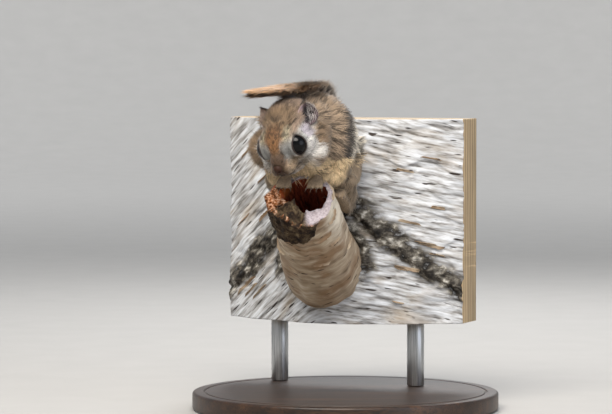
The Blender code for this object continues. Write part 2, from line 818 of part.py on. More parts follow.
def build_hand(frame, side):
    name = "hand_left" if side > 0 else "hand_right"
    digits = []
    for k in range(4):
        spread = (k - 1.5) / 1.5
        start = HAND_CENTRE + Vector((0.0020, 0.0018 * spread, -0.0002))
        way = Vector((0.9, 0.34 * spread, -0.25))
        digits.append((start, way, 0.0046 - 0.0006 * abs(spread), 0.00085, 0.0030))
    placed = [(mirrored(s, side), mirrored(w, side), n, r, c) for s, w, n, r, c in digits]
    return paw(name, frame, mirrored(HAND_CENTRE, side), HAND_RADII, placed)


def build_foot(body, side):
    """A long hind foot that follows the slope of the stub."""
    name = "foot_left" if side > 0 else "foot_right"
    frame = body @ Matrix.Translation(mirrored(FOOT_CENTRE, side)) @ Matrix.Rotation(FOOT_PITCH, 4, "Y")
    digits = []
    for k in range(5):
        spread = (k - 2) / 2
        start = Vector((0.0085, 0.0026 * spread, 0.0))
        way = Vector((0.9, 0.30 * spread, -0.30))
        digits.append((start, way, 0.0065 - 0.0012 * spread**2, 0.0010, 0.0034))
    return paw(name, frame, Vector(), (0.0120, 0.0038, 0.0027), digits)


def build_fold(frame, side):
    """The loose skin between wrist and ankle, a soft ridge along the flank."""
    name = "flight_skin_left" if side > 0 else "flight_skin_right"
    line = smooth_line(FOLD_POINTS, FOLD_STEPS)
    centres = []
    acrosses = []
    for p in line:
        out = Vector((p[0] * 0.15, p[1], (p[2] - 0.004) * 0.45)).normalized()
        centres.append(frame @ mirrored(Vector(p[:3]) - out * (p[3] * 0.35), side))
        acrosses.append(frame.to_3x3() @ mirrored(out, side))
    widths = [p[3] * 1.15 for p in line]
    heights = [FOLD_THICKNESS / 2] * len(line)
    return object_of(name, loft(centres, acrosses, widths, heights, 6))


# The tail


def tail_stations():
    """The tail's line with its wide way at each step."""
    line = smooth_line(TAIL_POINTS, TAIL_STEPS)
    centres = [Vector(p[:3]) for p in line]
    acrosses = []
    for i in range(len(line)):
        along = (centres[min(i + 1, TAIL_STEPS)] - centres[max(i - 1, 0)]).normalized()
        share = i / TAIL_STEPS
        hint = Vector((0.95, 0.30, 0.0)).lerp(Vector((0.55, -0.83, 0.0)), max(0.0, share - 0.45) / 0.55)
        acrosses.append((hint - along * hint.dot(along)).normalized())
    return centres, acrosses, [p[3] for p in line], [p[4] for p in line]


def tail_length(stations):
    return sum((b - a).length for a, b in zip(stations[0], stations[0][1:]))


def tail_place(stations, share):
    """A frame on the tail's line, with X along it, Y across it and Z out of its upper side, and its reach."""
    centres, acrosses, widths, _ = stations
    at = min(share * TAIL_STEPS, TAIL_STEPS - 1e-6)
    k = int(at)
    t = at - k
    along = (centres[k + 1] - centres[k]).normalized()
    centre = centres[k].lerp(centres[k + 1], t) + along * (max(0.0, share - 1.0) * tail_length(stations))
    across = acrosses[k].lerp(acrosses[k + 1], t)
    across = (across - along * across.dot(along)).normalized()
    frame = Matrix((along, across, along.cross(across))).transposed().to_4x4()
    return Matrix.Translation(centre) @ frame, widths[k] + (widths[k + 1] - widths[k]) * t


def lock(stations, share, across, height, sweep, length, rise):
    """One flat, tapered lock that follows the tail's curve. It starts at sweep and bends towards its line."""
    total = tail_length(stations)
    height += random.uniform(-LOCK_SCATTER, LOCK_SCATTER)
    rise += random.uniform(-LOCK_SCATTER, LOCK_SCATTER)
    line = []
    sides = []
    for step, lift in ((0.0, 0.0), (0.5, rise), (0.5, rise * 0.6)):
        share += math.cos(sweep) * length * step / total
        across += math.sin(sweep) * length * step
        place, _ = tail_place(stations, share)
        line.append(place @ Vector((0.0, across, height + lift)))
        sides.append(place.to_3x3() @ Vector((-math.sin(sweep), math.cos(sweep), 0.0)))
        if step:
            sweep *= 1.0 - LOCK_BEND
    half_width = random.choice(LOCK_HALF_WIDTHS)
    widths = [half_width * part for part in LOCK_TAPER]
    heights = [LOCK_HALF_THICKNESS * part for part in LOCK_THINNING]
    return object_of("lock", loft(line, sides, widths, heights, 4, ()))


def tail_locks(stations):
    """Locks on both edges of the tail, on its upper side, under its free end, and in a fan at its tip."""
    locks = []
    total = tail_length(stations)
    for i in range(EDGE_LOCKS):
        for side in (1, -1):
            share = (i + random.uniform(*LOCK_SPACING)) / EDGE_LOCKS * CORE_END
            _, here = tail_place(stations, share)
            _, reach = tail_place(stations, share + here / total)
            root = LOCK_ROOT * CORE_SHARE * here
            sweep = LOCK_SWEEP * random.uniform(*SWEEP_SHARES)
            outward = (math.sin(sweep) + math.sin(sweep * (1.0 - LOCK_BEND))) / 2
            length = max(reach - root, 0.4 * here) / outward
            tier = LOCK_TIER * (1 if i % 2 else -1)
            if share < FREE_START:
                tier += LOCK_TIER
            locks.append(lock(stations, share, side * root, 0.0, side * sweep, length, tier))
    for i in range(TOP_LOCKS):
        for face in (1, -1):
            share = (i + random.uniform(*LOCK_SPACING)) / TOP_LOCKS * CORE_END
            if face < 0 and share < FREE_START:
                continue
            _, reach = tail_place(stations, share)
            root = random.uniform(-0.2, 0.2) * reach
            sweep = math.copysign(random.uniform(*TOP_SWEEPS), root)
            height = face * LOCK_HALF_THICKNESS
            locks.append(lock(stations, share, root, height, sweep, reach * 1.1, 2 * face * LOCK_TIER))
    _, reach = tail_place(stations, FAN_START)
    for i in range(FAN_LOCKS):
        spread = 2 * i / (FAN_LOCKS - 1) - 1
        root = spread * CORE_SHARE * reach * 0.5
        length = (1.0 - FAN_START) * total * (1.0 - 0.18 * abs(spread)) * random.uniform(0.94, 1.0)
        tier = LOCK_TIER * (1 if i % 2 else -1)
        locks.append(lock(stations, FAN_START, root, 0.0, FAN_SPREAD * spread, length, tier))
    return locks


def united(obj, pieces):
    """Joins closed pieces to an object with one union, and removes them."""
    group = bpy.data.collections.new("pieces")
    for piece in pieces:
        bpy.context.scene.collection.objects.unlink(piece)
        group.objects.link(piece)
    bpy.context.scene.collection.children.link(group)
    before = obj.data
    for solver in ("EXACT", "MANIFOLD"):
        obj.data = before
        boolean = obj.modifiers.new("Union", "BOOLEAN")
        boolean.operation = "UNION"
        boolean.operand_type = "COLLECTION"
        boolean.collection = group
        boolean.solver = solver
        baked(obj)
        if measured(obj.data) > measured(before):
            break
    for piece in pieces:
        bpy.data.objects.remove(piece)
    bpy.data.collections.remove(group)
    return obj


def build_tail():
    """A flat, broad tail: a slim core with its locks, parted in three lengths with thin cuts."""
    stations = tail_stations()
    centres, acrosses, widths, heights = stations
    kept = int(CORE_END * TAIL_STEPS) + 1
    slim = [width * CORE_SHARE for width in widths[:kept]]
    whole = object_of("tail", loft(centres[:kept], acrosses[:kept], slim, heights[:kept], TAIL_SIDES))
    united(whole, tail_locks(stations))
    nodes = []
    for n, name in enumerate(TAIL_NODES):
        node = copy_of(whole)
        node.name = name
        if n > 0:
            combine(node, far_side(tail_place(stations, TAIL_CUTS[n - 1])[0], 0.0, -1), "DIFFERENCE")
        if n < len(TAIL_CUTS):
            combine(node, far_side(tail_place(stations, TAIL_CUTS[n])[0], 0.0, 1), "DIFFERENCE")
        nodes.append(largest(node))
    bpy.data.objects.remove(whole)
    return nodes


def main():
    clear_scene()
    random.seed(11)
    fur_grey = finish_of("fur_grey_brown", (0.30, 0.24, 0.18), 0.9)
    fur_pale = finish_of("fur_cream", (0.62, 0.52, 0.38), 0.9)
    fur_tail = finish_of("fur_tail_buff", (0.50, 0.33, 0.20), 0.9)
    skin_ear = finish_of("ear_skin", (0.42, 0.30, 0.28), 0.7)
    skin_paw = finish_of("paw_skin", (0.45, 0.36, 0.32), 0.7)
    eye_black = finish_of("eye_black", (0.01, 0.01, 0.012), 0.08)
    bark = finish_of("birch_bark", (0.62, 0.60, 0.57), 0.8)
    stand_wood = finish_of("stand_wood", (0.05, 0.035, 0.025), 0.45)
    stand_steel = finish_of("stand_steel", (0.55, 0.55, 0.56), 0.3, 1.0)

    build_base(stand_wood)
    build_rods(stand_steel)
    rooms = {}

    def keep(obj):
        """Keeps the room that a whole, uncut piece takes, with the gap around it."""
        rooms[obj.name] = copy_of(obj, GAP)
        return obj

    trunk = keep(build_trunk(bark))
    stub = keep(build_stub(bark))
    cleared(stub, rooms["perch_trunk"])
    head_frame = facing(HEAD_CENTRE, HEAD_YAW, HEAD_PITCH, HEAD_ROLL)
    body_frame = facing(BODY_CENTRE, BODY_YAW)

    head = keep(build_head(head_frame))
    eyes = [build_eye(head_frame, side, eye_black) for side in (1, -1)]
    finish_head(head_frame, head, eyes, fur_grey)
    body = keep(build_body(body_frame))
    for side in (1, -1):
        cleared(keep(build_ear(head_frame, side, skin_ear)), rooms["head"], rooms["body"])

    torso, neck = parted(body_frame, body)
    dressed(cleared(torso, rooms["perch_trunk"], rooms["perch_stub"], rooms["head"]), fur_grey)
    dressed(cleared(neck, rooms["head"], rooms["perch_stub"]), fur_grey)

    for side in (1, -1):
        word = "left" if side > 0 else "right"
        fixed = [rooms[name] for name in ("body", "perch_trunk", "perch_stub", "head")]
        arm = keep(limb("arm_" + word, body_frame, side, ARM_POINTS))
        thigh = keep(limb("thigh_" + word, body_frame, side, THIGH_POINTS))
        shin = keep(limb("shin_" + word, body_frame, side, SHIN_POINTS))
        hand = build_hand(body_frame, side)
        foot = build_foot(body_frame, side)
        fold = build_fold(body_frame, side)
        dressed(cleared(arm, *fixed), fur_grey)
        legs = [rooms[kind + word] for kind in ("arm_", "thigh_", "shin_")]
        dressed(cleared(hand, legs[0], *fixed), skin_paw)
        dressed(cleared(thigh, legs[0], *fixed), fur_grey)
        dressed(cleared(shin, *legs[:2], *fixed), fur_grey)
        dressed(cleared(foot, *legs, *fixed), skin_paw)
        dressed(cleared(fold, *legs, *fixed), fur_pale)

    fixed = [rooms[name] for name in ("body", "perch_trunk", "head", "ear_left", "ear_right")]
    for node in build_tail():
        dressed(cleared(node, *fixed), fur_tail)
    for room in rooms.values():
        bpy.data.objects.remove(room)


main()
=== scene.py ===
"""The looks of a life-size small flying squirrel on a broken birch stub, as a museum shows it.

Metres, +Z up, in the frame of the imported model. The squirrel faces -Y.
"""

import math

import bmesh
import bpy
import numpy as np
from mathutils import Matrix, Vector, noise
from mathutils.bvhtree import BVHTree
from mathutils.kdtree import KDTree


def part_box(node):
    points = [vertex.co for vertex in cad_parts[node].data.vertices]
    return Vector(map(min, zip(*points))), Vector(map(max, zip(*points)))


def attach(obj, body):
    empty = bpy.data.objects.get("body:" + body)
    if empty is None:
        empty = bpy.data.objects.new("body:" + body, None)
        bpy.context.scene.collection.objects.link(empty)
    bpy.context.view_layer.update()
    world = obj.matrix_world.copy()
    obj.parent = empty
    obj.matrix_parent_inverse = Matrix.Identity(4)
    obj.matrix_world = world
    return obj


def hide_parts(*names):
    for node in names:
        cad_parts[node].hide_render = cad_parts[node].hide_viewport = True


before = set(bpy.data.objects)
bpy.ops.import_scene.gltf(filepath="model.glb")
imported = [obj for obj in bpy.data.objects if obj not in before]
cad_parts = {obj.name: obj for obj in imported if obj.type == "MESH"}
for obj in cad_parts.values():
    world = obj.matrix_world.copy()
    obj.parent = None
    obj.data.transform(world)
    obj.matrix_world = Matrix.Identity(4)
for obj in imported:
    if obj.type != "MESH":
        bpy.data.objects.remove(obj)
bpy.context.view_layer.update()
bpy.ops.object.select_all(action="DESELECT")


# Stand base.
# A turned disc of dark walnut, oiled and rubbed to a low sheen, with a fine groove near its edge.
# Its underside rests on the floor.

BASE_RADIUS = 0.070
BASE_THICKNESS = 0.008
# The groove, as steps inwards and up: in from the edge, down, along its floor and up again.
GROOVE = ((0.0050, 0.0), (0.0004, -0.0005), (0.0006, 0.0), (0.0004, 0.0005))


def colour(code):
    """An sRGB hex value as linear colour, with full alpha."""
    parts = [int(code[i : i + 2], 16) / 255 for i in (0, 2, 4)]
    return (*(c / 12.92 if c <= 0.04045 else ((c + 0.055) / 1.055) ** 2.4 for c in parts), 1.0)


# What each kind of node gives, where that isn't its first output.
NODE_OUTPUTS = {"Mix": 2, "TexCoord": "Object", "TexWave": "Fac", "Attribute": "Fac", "SeparateXYZ": "Y"}


def add(tree, kind, *inputs, stops=(), **more):
    """Adds a shader node and gives its output. Inputs are values or sockets, in their order or by name.

    More names with a capital are inputs, and the others are settings. Stops are a ramp's places and colours.
    """
    made = tree.nodes.new("ShaderNode" + kind)
    order = range(len(inputs))
    if kind == "Mix":
        made.data_type = "RGBA"
        order = (0, 6, 7)
    for key, value in [*zip(order, inputs), *more.items()]:
        if str(key).islower():
            setattr(made, key, value)
            continue
        socket = made.inputs[key.replace("_", " ") if isinstance(key, str) else key]
        if isinstance(value, bpy.types.NodeSocket):
            tree.links.new(value, socket)
        else:
            socket.default_value = value
    for i, (place, code) in enumerate(stops):
        ramp = made.color_ramp.elements
        stop = ramp[i] if i < 2 else ramp.new(place)
        stop.position = place
        stop.color = colour(code) if isinstance(code, str) else (code, code, code, 1.0)
    return made.outputs[NODE_OUTPUTS.get(kind, 0)]


def feed(shader, **sockets):
    """Links sockets to a shader's inputs."""
    for name, socket in sockets.items():
        shader.id_data.links.new(socket, shader.inputs[name.replace("_", " ")])


def finish(name, **values):
    """A material with its node tree and its shader. Values set the shader's own sockets."""
    material = bpy.data.materials.new(name)
    material.use_nodes = True
    shader = material.node_tree.nodes["Principled BSDF"]
    for key, value in values.items():
        shader.inputs[key.replace("_", " ")].default_value = value
    return material, material.node_tree, shader


def dress(obj, material, slot_name, *nodes):
    """Gives a piece its material and its body, and hides the nodes it stands for. Its slot name is not used."""
    obj.data.materials.clear()
    obj.data.materials.append(material)
    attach(obj, "root")
    if nodes:
        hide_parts(*nodes)
    return obj


def named(name):
    """The object that an operator has just added, with its name, and its place put into its mesh."""
    obj = bpy.context.object
    obj.name = obj.data.name = name
    bpy.ops.object.transform_apply(location=True, rotation=True, scale=True)
    return obj


def shaped(obj, kind, **settings):
    """Adds one modifier to a piece and applies it."""
    modifier = obj.modifiers.new(kind, kind)
    for name, value in settings.items():
        setattr(modifier, name, value)
    bpy.context.view_layer.objects.active = obj
    bpy.ops.object.modifier_apply(modifier=modifier.name)
    return obj


def softened(obj, width, segments):
    """Rounds the sharp edges of a turned piece, and shades its curved side smooth."""
    shaped(obj, "BEVEL", width=width, segments=segments, limit_method="ANGLE", angle_limit=math.radians(60.0))
    bpy.ops.object.shade_smooth_by_angle(angle=math.radians(30.0))


bpy.ops.mesh.primitive_cylinder_add(
    vertices=128, radius=BASE_RADIUS, depth=BASE_THICKNESS, location=(0.0, 0.0, BASE_THICKNESS / 2)
)
base = named("base")
bpy.ops.object.mode_set(mode="EDIT")
bpy.ops.mesh.select_mode(type="FACE")
bpy.ops.mesh.select_all(action="DESELECT")
bpy.ops.object.mode_set(mode="OBJECT")
for face in base.data.polygons:
    face.select = face.normal.z > 0.9
bpy.ops.object.mode_set(mode="EDIT")
for inwards, depth in GROOVE:
    bpy.ops.mesh.inset(thickness=inwards, depth=depth)
bpy.ops.object.mode_set(mode="OBJECT")
softened(base, 0.0012, 4)

# Walnut, quarter sawn and oiled: brown, with fine dark pores along the grain and a soft gloss.
# Its bands are 5 mm wide, and its pores 9 by 0.6 mm, a little coarser than real ones so that they show.
walnut, tree, shader = finish("oiled_walnut", Roughness=0.40)
place = add(tree, "TexCoord")
along_grain = add(tree, "Mapping", place, Scale=(12.0, 190.0, 190.0))
bands = add(tree, "TexNoise", along_grain, Scale=1.0, Detail=6.0, Roughness=0.62)
grain = add(tree, "ValToRGB", bands, stops=((0.3, "1E130C"), (0.52, "382416"), (0.72, "52361F")))
pores = add(tree, "TexNoise", add(tree, "Mapping", place, Scale=(110.0, 1700.0, 1700.0)), Scale=1.0, Detail=2.0)
pore_mask = add(tree, "ValToRGB", pores, stops=((0.38, 0.35), (0.52, 1.0)))
tint = add(tree, "Mix", 1.0, grain, pore_mask, blend_type="MULTIPLY")
feed(shader, Base_Color=tint, Normal=add(tree, "Bump", Strength=0.25, Distance=0.0001, Height=pore_mask))
dress(base, walnut, "stand_wood", "stand_base")


# Stand rods.
# Two short rods of stainless steel, brushed along their length, with chamfered ends.
# They are pressed into the base and the underside of the trunk.

# Stainless steel, brushed along the rod: fine bright and dark lines, and a soft gloss. The lines are 0.4 mm
# apart, coarser than real ones so that they show.
steel, tree, shader = finish("brushed_steel", Metallic=1.0)
place = add(tree, "TexCoord")
lines = add(tree, "TexNoise", add(tree, "Mapping", place, Scale=(2600.0, 2600.0, 60.0)), Scale=1.0, Detail=3.0)
sheen = add(tree, "ValToRGB", lines, stops=((0.3, "8E9092"), (0.7, "C9CBCC")))
rough = add(tree, "MapRange", lines, To_Min=0.24, To_Max=0.42)
feed(shader, Base_Color=sheen, Roughness=rough)
SIDES = {"left": 1, "right": -1}
for word in SIDES:
    low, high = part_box("stand_rod_" + word)
    bpy.ops.mesh.primitive_cylinder_add(
        vertices=48, radius=(high.x - low.x) / 2, depth=high.z - low.z, location=(low + high) / 2
    )
    rod = named("rod_" + word)
    softened(rod, 0.0004, 2)
    dress(rod, steel, "stand_steel", "stand_rod_" + word)


# Trunk.
# A slab split from a birch 190 mm thick. Its front keeps the papery bark, swollen round the stub, with the
# dark rough ridge where branch and trunk bark meet. The other faces are sawn and split wood.

TRUNK_RADIUS = 0.095
TRUNK_TURN = math.radians(-22.0)
TRUNK_FACE = Vector((-0.007, 0.013, 0.0))
SLAB_HALF_WIDTH = 0.058
SLAB_DEPTH = 0.038
SLAB_BOTTOM = 0.038
SLAB_TOP = 0.132
# How far the bark swells round the stub, and half the swelling's width and height.
COLLAR = (0.012, 0.021, 0.024)
# The dark ridge's height and half width, how far it arches over the stub, and its slope to both sides.
RIDGE = (0.0024, 0.0042, 0.040, 0.85)
ROUGH_WIDTH = 0.0085
STUB_ROOT = Vector((-0.0093, 0.0100, 0.0620))
BARK_COLUMNS = 230
BARK_ROWS = 190

trunk_frame = Matrix.Translation(TRUNK_FACE) @ Matrix.Rotation(TRUNK_TURN, 4, "Z")


def waver(x, y, z=0.0):
    """Smooth noise from -1 to 1."""
    return noise.noise(Vector((x, y, z)))


def soft(value, start, end):
    """0 before start, 1 after end and a soft step between. Start may be past end."""
    share = np.clip((value - start) / (end - start), 0.0, 1.0)
    return share * share * (3 - 2 * share)


def ridge_share(across, height, width):
    """How much of the dark bark ridge, which arches over the stub's root, shows at a place."""
    _, _, rise, slope = RIDGE
    wander = 0.003 * waver(across * 90.0, height * 90.0) + 0.002 * waver(across * 260.0, height * 260.0)
    arch = rise - slope * abs(across) + wander
    collar = math.hypot(across + 0.002, 0.8 * (height - STUB_ROOT.z)) - 0.0215 + wander
    round_stub = math.exp(-((collar / (0.55 * width)) ** 2)) * float(soft(height - STUB_ROOT.z, -0.012, 0.004))
    return max(math.exp(-(((height - STUB_ROOT.z - arch) / width) ** 2)), 0.85 * round_stub)


def grain_height(across, height):
    """Height measured along the bark's layers, which droop to both sides of the branch, most to the left."""
    droop = RIDGE[3] if across < 0 else 0.22
    return height + droop * (math.hypot(across, 0.012) - 0.012)


def bark_depth(across, height):
    """How far behind the bark's foremost line its surface lies, with its peeling layers and cracks."""
    swelling, width, tall = COLLAR
    drop = TRUNK_RADIUS - math.sqrt(TRUNK_RADIUS**2 - across**2)
    collar = swelling * math.exp(-((across / width) ** 2 + ((height - STUB_ROOT.z) / tall) ** 2))
    ripple = 0.0007 * math.sin(across * 260.0 + 3.0 * math.sin(height * 90.0))
    grain = grain_height(across, height)
    peel = waver(across * 38.0 + 9.0, grain * 210.0 + 1.5 * waver(across * 80.0, grain * 70.0))
    layers = 0.00050 * math.tanh(peel * 9.0) + 0.00034 * waver(across * 110.0, grain * 850.0)
    crumbs = 0.0026 * waver(across * 210.0, height * 260.0, 4.0)
    crumbs += 0.0012 * waver(across * 620.0, height * 700.0)
    rough = ridge_share(across, height, ROUGH_WIDTH)
    return drop - collar - RIDGE[0] * ridge_share(across, height, RIDGE[1]) - ripple - layers - rough * crumbs


def read(data, collection, name, width, kind=np.float32):
    """Reads one value per element of a mesh as an array."""
    items = getattr(data, collection)
    values = np.empty(len(items) * width, kind)
    items.foreach_get(name, values)
    values = values.reshape(-1, width)
    return values.astype(float) if kind == np.float32 else values


def lay_flat(obj, values):
    """Gives a mesh its only UV map, from a pair of values at each point."""
    for layer in list(obj.data.uv_layers):
        obj.data.uv_layers.remove(layer)
    corners = read(obj.data, "loops", "vertex_index", 1, np.int32).ravel()
    layer = obj.data.uv_layers.new(name="flat")
    layer.data.foreach_set("uv", np.asarray(values)[corners].astype(np.float32).ravel())


def mark(obj, name, values):
    """Stores a number at each point of a mesh, for its material."""
    layer = obj.data.attributes.new(name, "FLOAT", "POINT")
    layer.data.foreach_set("value", np.asarray(values, np.float32))


def pick_rim():
    """Goes to edit mode with the open edges of the active piece selected."""
    bpy.ops.object.mode_set(mode="EDIT")
    bpy.ops.mesh.select_mode(type="EDGE")
    bpy.ops.mesh.select_all(action="DESELECT")
    bpy.ops.mesh.select_non_manifold()


def turn_faces(inside):
    """Turns all the faces of the active piece outwards or inwards, and leaves edit mode."""
    bpy.ops.mesh.select_all(action="SELECT")
    bpy.ops.mesh.normals_make_consistent(inside=inside)
    bpy.ops.object.mode_set(mode="OBJECT")


bpy.ops.mesh.primitive_grid_add(x_subdivisions=BARK_COLUMNS, y_subdivisions=BARK_ROWS, size=1.0)
trunk = named("trunk_bark")
ridge_values, bark_places = [], []
for vertex in trunk.data.vertices:
    across = vertex.co.x * 2 * SLAB_HALF_WIDTH
    height = SLAB_BOTTOM + (vertex.co.y + 0.5) * (SLAB_TOP - SLAB_BOTTOM)
    vertex.co = trunk_frame @ Vector((across, bark_depth(across, height), height))
    ridge_values.append(ridge_share(across, height, ROUGH_WIDTH))
    bark_places.append((across, grain_height(across, height)))
mark(trunk, "ridge", ridge_values)
lay_flat(trunk, bark_places)
bpy.ops.object.shade_smooth()

# Paper birch bark: chalky blue-white and grey sheets, with rust-dark pores that lie across the trunk.
# Streaks are 11 by 2 mm, pores 8 by 2 mm, tan patches 26 by 14 mm, and the ridge's crumbs 5 mm.
birch, tree, shader = finish("birch_bark", Roughness=0.78, Specular_IOR_Level=0.3)
flat = add(tree, "UVMap")
streak_place = add(tree, "Mapping", flat, Scale=(90.0, 520.0, 1.0))
streaks = add(tree, "TexNoise", streak_place, Scale=1.0, Detail=3.0, Roughness=0.6)
sheet = add(
    tree, "ValToRGB", streaks, stops=((0.32, "63615F"), (0.42, "9A9896"), (0.52, "BFC0C2"), (0.66, "DADDE1"))
)
patch_place = add(tree, "Mapping", flat, Scale=(38.0, 70.0, 1.0))
patches = add(tree, "TexNoise", patch_place, Scale=1.0, Detail=3.0, Distortion=0.6)
tan_mask = add(tree, "ValToRGB", patches, stops=((0.52, 0.0), (0.7, 0.65)))
tanned = add(tree, "Mix", tan_mask, sheet, colour("A39480"))
pores = add(tree, "TexNoise", add(tree, "Mapping", flat, Scale=(120.0, 560.0, 1.0)), Scale=1.0, Detail=1.0)
pore_mask = add(tree, "ValToRGB", pores, stops=((0.66, 0.0), (0.72, 1.0)))
pored = add(tree, "Mix", pore_mask, tanned, colour("38302B"))
ridge_value = add(tree, "Attribute", attribute_name="ridge")
crumble_place = add(tree, "Mapping", flat, Scale=(190.0, 230.0, 1.0))
crumble = add(tree, "TexNoise", crumble_place, Scale=1.0, Detail=4.0, Roughness=0.62)
rough_bark = add(
    tree, "ValToRGB", crumble, stops=((0.36, "100E0C"), (0.47, "35302A"), (0.57, "6A655C"), (0.68, "C3BFB6"))
)
ridge_edge = add(tree, "Math", ridge_value, crumble, operation="MULTIPLY")
ridge_mask = add(tree, "ValToRGB", ridge_edge, stops=((0.14, 0.0), (0.34, 1.0)))
barked = add(tree, "Mix", ridge_mask, pored, rough_bark)
relief = add(tree, "Math", streaks, pore_mask, operation="SUBTRACT")
feed(shader, Base_Color=barked, Normal=add(tree, "Bump", Strength=0.7, Distance=0.0004, Height=relief))

# Birch wood, sawn at the ends and split behind: cream and matt, with growth lines 2 mm apart and fibres about
# 1 mm wide.
wood, tree, shader = finish("sawn_birch_wood", Roughness=0.66)
place = add(tree, "TexCoord")
axis_place = add(tree, "Mapping", place, Location=(-0.046, -0.1, 0.0), Scale=(1.0, 1.0, 0.04))
rings = add(
    tree, "TexWave", axis_place, Scale=150.0, Distortion=1.6, Detail=3.0, Detail_Scale=1.2, wave_type="RINGS",
    rings_direction="Z",
)
growth = add(tree, "ValToRGB", rings, stops=((0.1, "A98A62"), (0.75, "CDB48C")))
fibres = add(tree, "TexNoise", add(tree, "Mapping", place, Scale=(900.0, 900.0, 45.0)), Scale=1.0, Detail=4.0)
fibre_tone = add(tree, "ValToRGB", fibres, stops=((0.3, 0.62), (0.65, 1.0)))
toned = add(tree, "Mix", 1.0, growth, fibre_tone, blend_type="MULTIPLY")
feed(shader, Base_Color=toned, Normal=add(tree, "Bump", Strength=0.5, Distance=0.0003, Height=fibres))

# The slab's other faces: its rim is drawn straight back and closed.
pick_rim()
for inset in (0.0012, 0.0):
    bpy.ops.mesh.extrude_edges_move()
    bpy.ops.object.mode_set(mode="OBJECT")
    inverse = trunk_frame.inverted()
    for vertex in trunk.data.vertices:
        if vertex.select:
            spot = inverse @ vertex.co
            spot.y = spot.y + inset if inset else SLAB_DEPTH
            vertex.co = trunk_frame @ spot
    bpy.ops.object.mode_set(mode="EDIT")
bpy.ops.mesh.edge_face_add()
bpy.ops.mesh.quads_convert_to_tris()
turn_faces(inside=False)
dress(trunk, birch, "birch_bark", "perch_trunk")
trunk.data.materials.append(wood)
for face in trunk.data.polygons:
    face.material_index = int(face.index >= BARK_COLUMNS * BARK_ROWS)


# Stub.
# The hollow end of a snapped birch branch. Papery bark wraps a wall of wood that is broken at its rim. At the
# lower left the bark has come off a thick dark lip of rot, and the hollow is red-brown, decayed wood.

STUB_RIM = Vector((-0.0198, -0.0405, 0.0968))
STUB_RADIUS = 0.0138
STUB_ROOT_RADIUS = 0.0185
STUB_TAPER_END = 0.98
STUB_WALL = 0.0030
STUB_HOLLOW_DEPTH = 0.026
LIP_TURN = math.radians(308.0)
LIP_WALL = 0.0070
LIP_RISE = 0.0062
JAG = 0.0050
STUB_SIDES = 200
STUB_STEPS = 110
ROT_REACH = 0.0140
# Sides of the stub, in degrees round it from the animal's right.
BARE_SIDE = 306.0
SLOPE_SIDE = 224.0
SLOPE_SPREAD = 34.0
SLOPE_WALL = 0.0072
SLOPE_DROP = 0.0038
TORN_ROWS = 18
HOLLOW_ROWS = 35

stub_length = (STUB_RIM - STUB_ROOT).length
stub_along = (STUB_RIM - STUB_ROOT).normalized()
stub_right = stub_along.cross(Vector((0.0, 0.0, 1.0))).normalized()
stub_top = stub_right.cross(stub_along)


def lip_share(angle):
    """How much of the thick broken lip stands at this side of the stub."""
    return max(0.0, math.cos(angle - LIP_TURN)) ** 1.5


def apart(angle, degrees):
    """How many degrees lie between two directions round the stub."""
    return abs((math.degrees(angle) - degrees + 180.0) % 360.0 - 180.0)


def ripple(angle, lumps, along):
    """Smooth noise from -1 to 1 that closes on itself round the stub."""
    return waver(math.cos(angle) * lumps, math.sin(angle) * lumps, along)


def slope_share(angle):
    """How much of the broad sloping break, at the lower right of the rim, there is at this side of the stub."""
    return math.exp(-((apart(angle, SLOPE_SIDE) / SLOPE_SPREAD) ** 2))


def bark_end(angle):
    """How far along the stub its bark reaches. It ends short of the rim at the rotten lip."""
    bare = soft(apart(angle, BARE_SIDE), 78.0, 40.0)
    reach = ROT_REACH * (0.92 + 0.12 * math.sin(angle * 5.0)) + 0.0012 * ripple(angle, 8.0, 5.0)
    return stub_length - bare * reach


def rim_length(angle, inward):
    """How far the broken rim stands past its mean, from its bark side at 0 to its hollow side at 1."""
    lip = lip_share(angle)
    notches = 0.30 * math.sin(angle * 5.0 + 0.6) + 0.22 * math.sin(angle * 11.0 + 2.1 + 4.0 * inward)
    splinters = 0.20 * ripple(angle, 9.0, inward * 3.0) + 0.14 * ripple(angle, 30.0, inward * 9.0)
    return LIP_RISE * lip * (1.0 - 0.35 * inward) + JAG * (notches + splinters) * (0.35 + lip)


def stub_width(share):
    """The stub's radius under its bark at a share of its length."""
    return STUB_ROOT_RADIUS + (STUB_RADIUS - STUB_ROOT_RADIUS) * min(1.0, share / STUB_TAPER_END)


def stub_point(angle, outer, inward, distance, jag):
    """A point on the stub, from bark to hollow wall as inward goes from 0 to 1."""
    slope = slope_share(angle)
    wall = STUB_WALL * (0.55 + 0.45 * lip_share(angle)) + LIP_WALL * lip_share(angle) + SLOPE_WALL * slope
    distance = distance - SLOPE_DROP * slope * inward * (jag if inward < 1 else max(0.0, jag))
    radius = (outer - inward * wall) * (1.0 + 0.025 * math.sin(3 * angle + distance * 120.0))
    side = stub_right * math.cos(angle) + stub_top * math.sin(angle)
    past = distance - bark_end(angle)
    bare = soft(past, -0.0002, 0.0004)
    torn = 0.0017 + 0.0012 * ripple(angle, 5.0, distance * 330.0)
    torn += 0.0006 * ripple(angle, 16.0, distance * 900.0)
    papery = 0.00022 * ripple(angle, 6.0, distance * 210.0)
    papery += 0.00030 * math.tanh(5.0 * ripple(angle, 2.6, distance * 55.0 + 7.0))
    papery += 0.0005 * math.exp(-((past / 0.0014) ** 2)) * soft(apart(angle, BARE_SIDE), 78.0, 50.0)
    crumbled = 0.0010 * ripple(angle, 7.0, distance * 300.0 + inward * 5.0)
    rough = papery + (torn * lip_share(angle) ** 0.3 - papery) * bare if inward == 0 else crumbled
    return STUB_ROOT + stub_along * (distance + jag * rim_length(angle, inward)) + side * (radius + rough)


def added(name, data):
    """A new object in the scene for a mesh, a lamp or a camera."""
    obj = bpy.data.objects.new(name, data)
    bpy.context.scene.collection.objects.link(obj)
    return obj


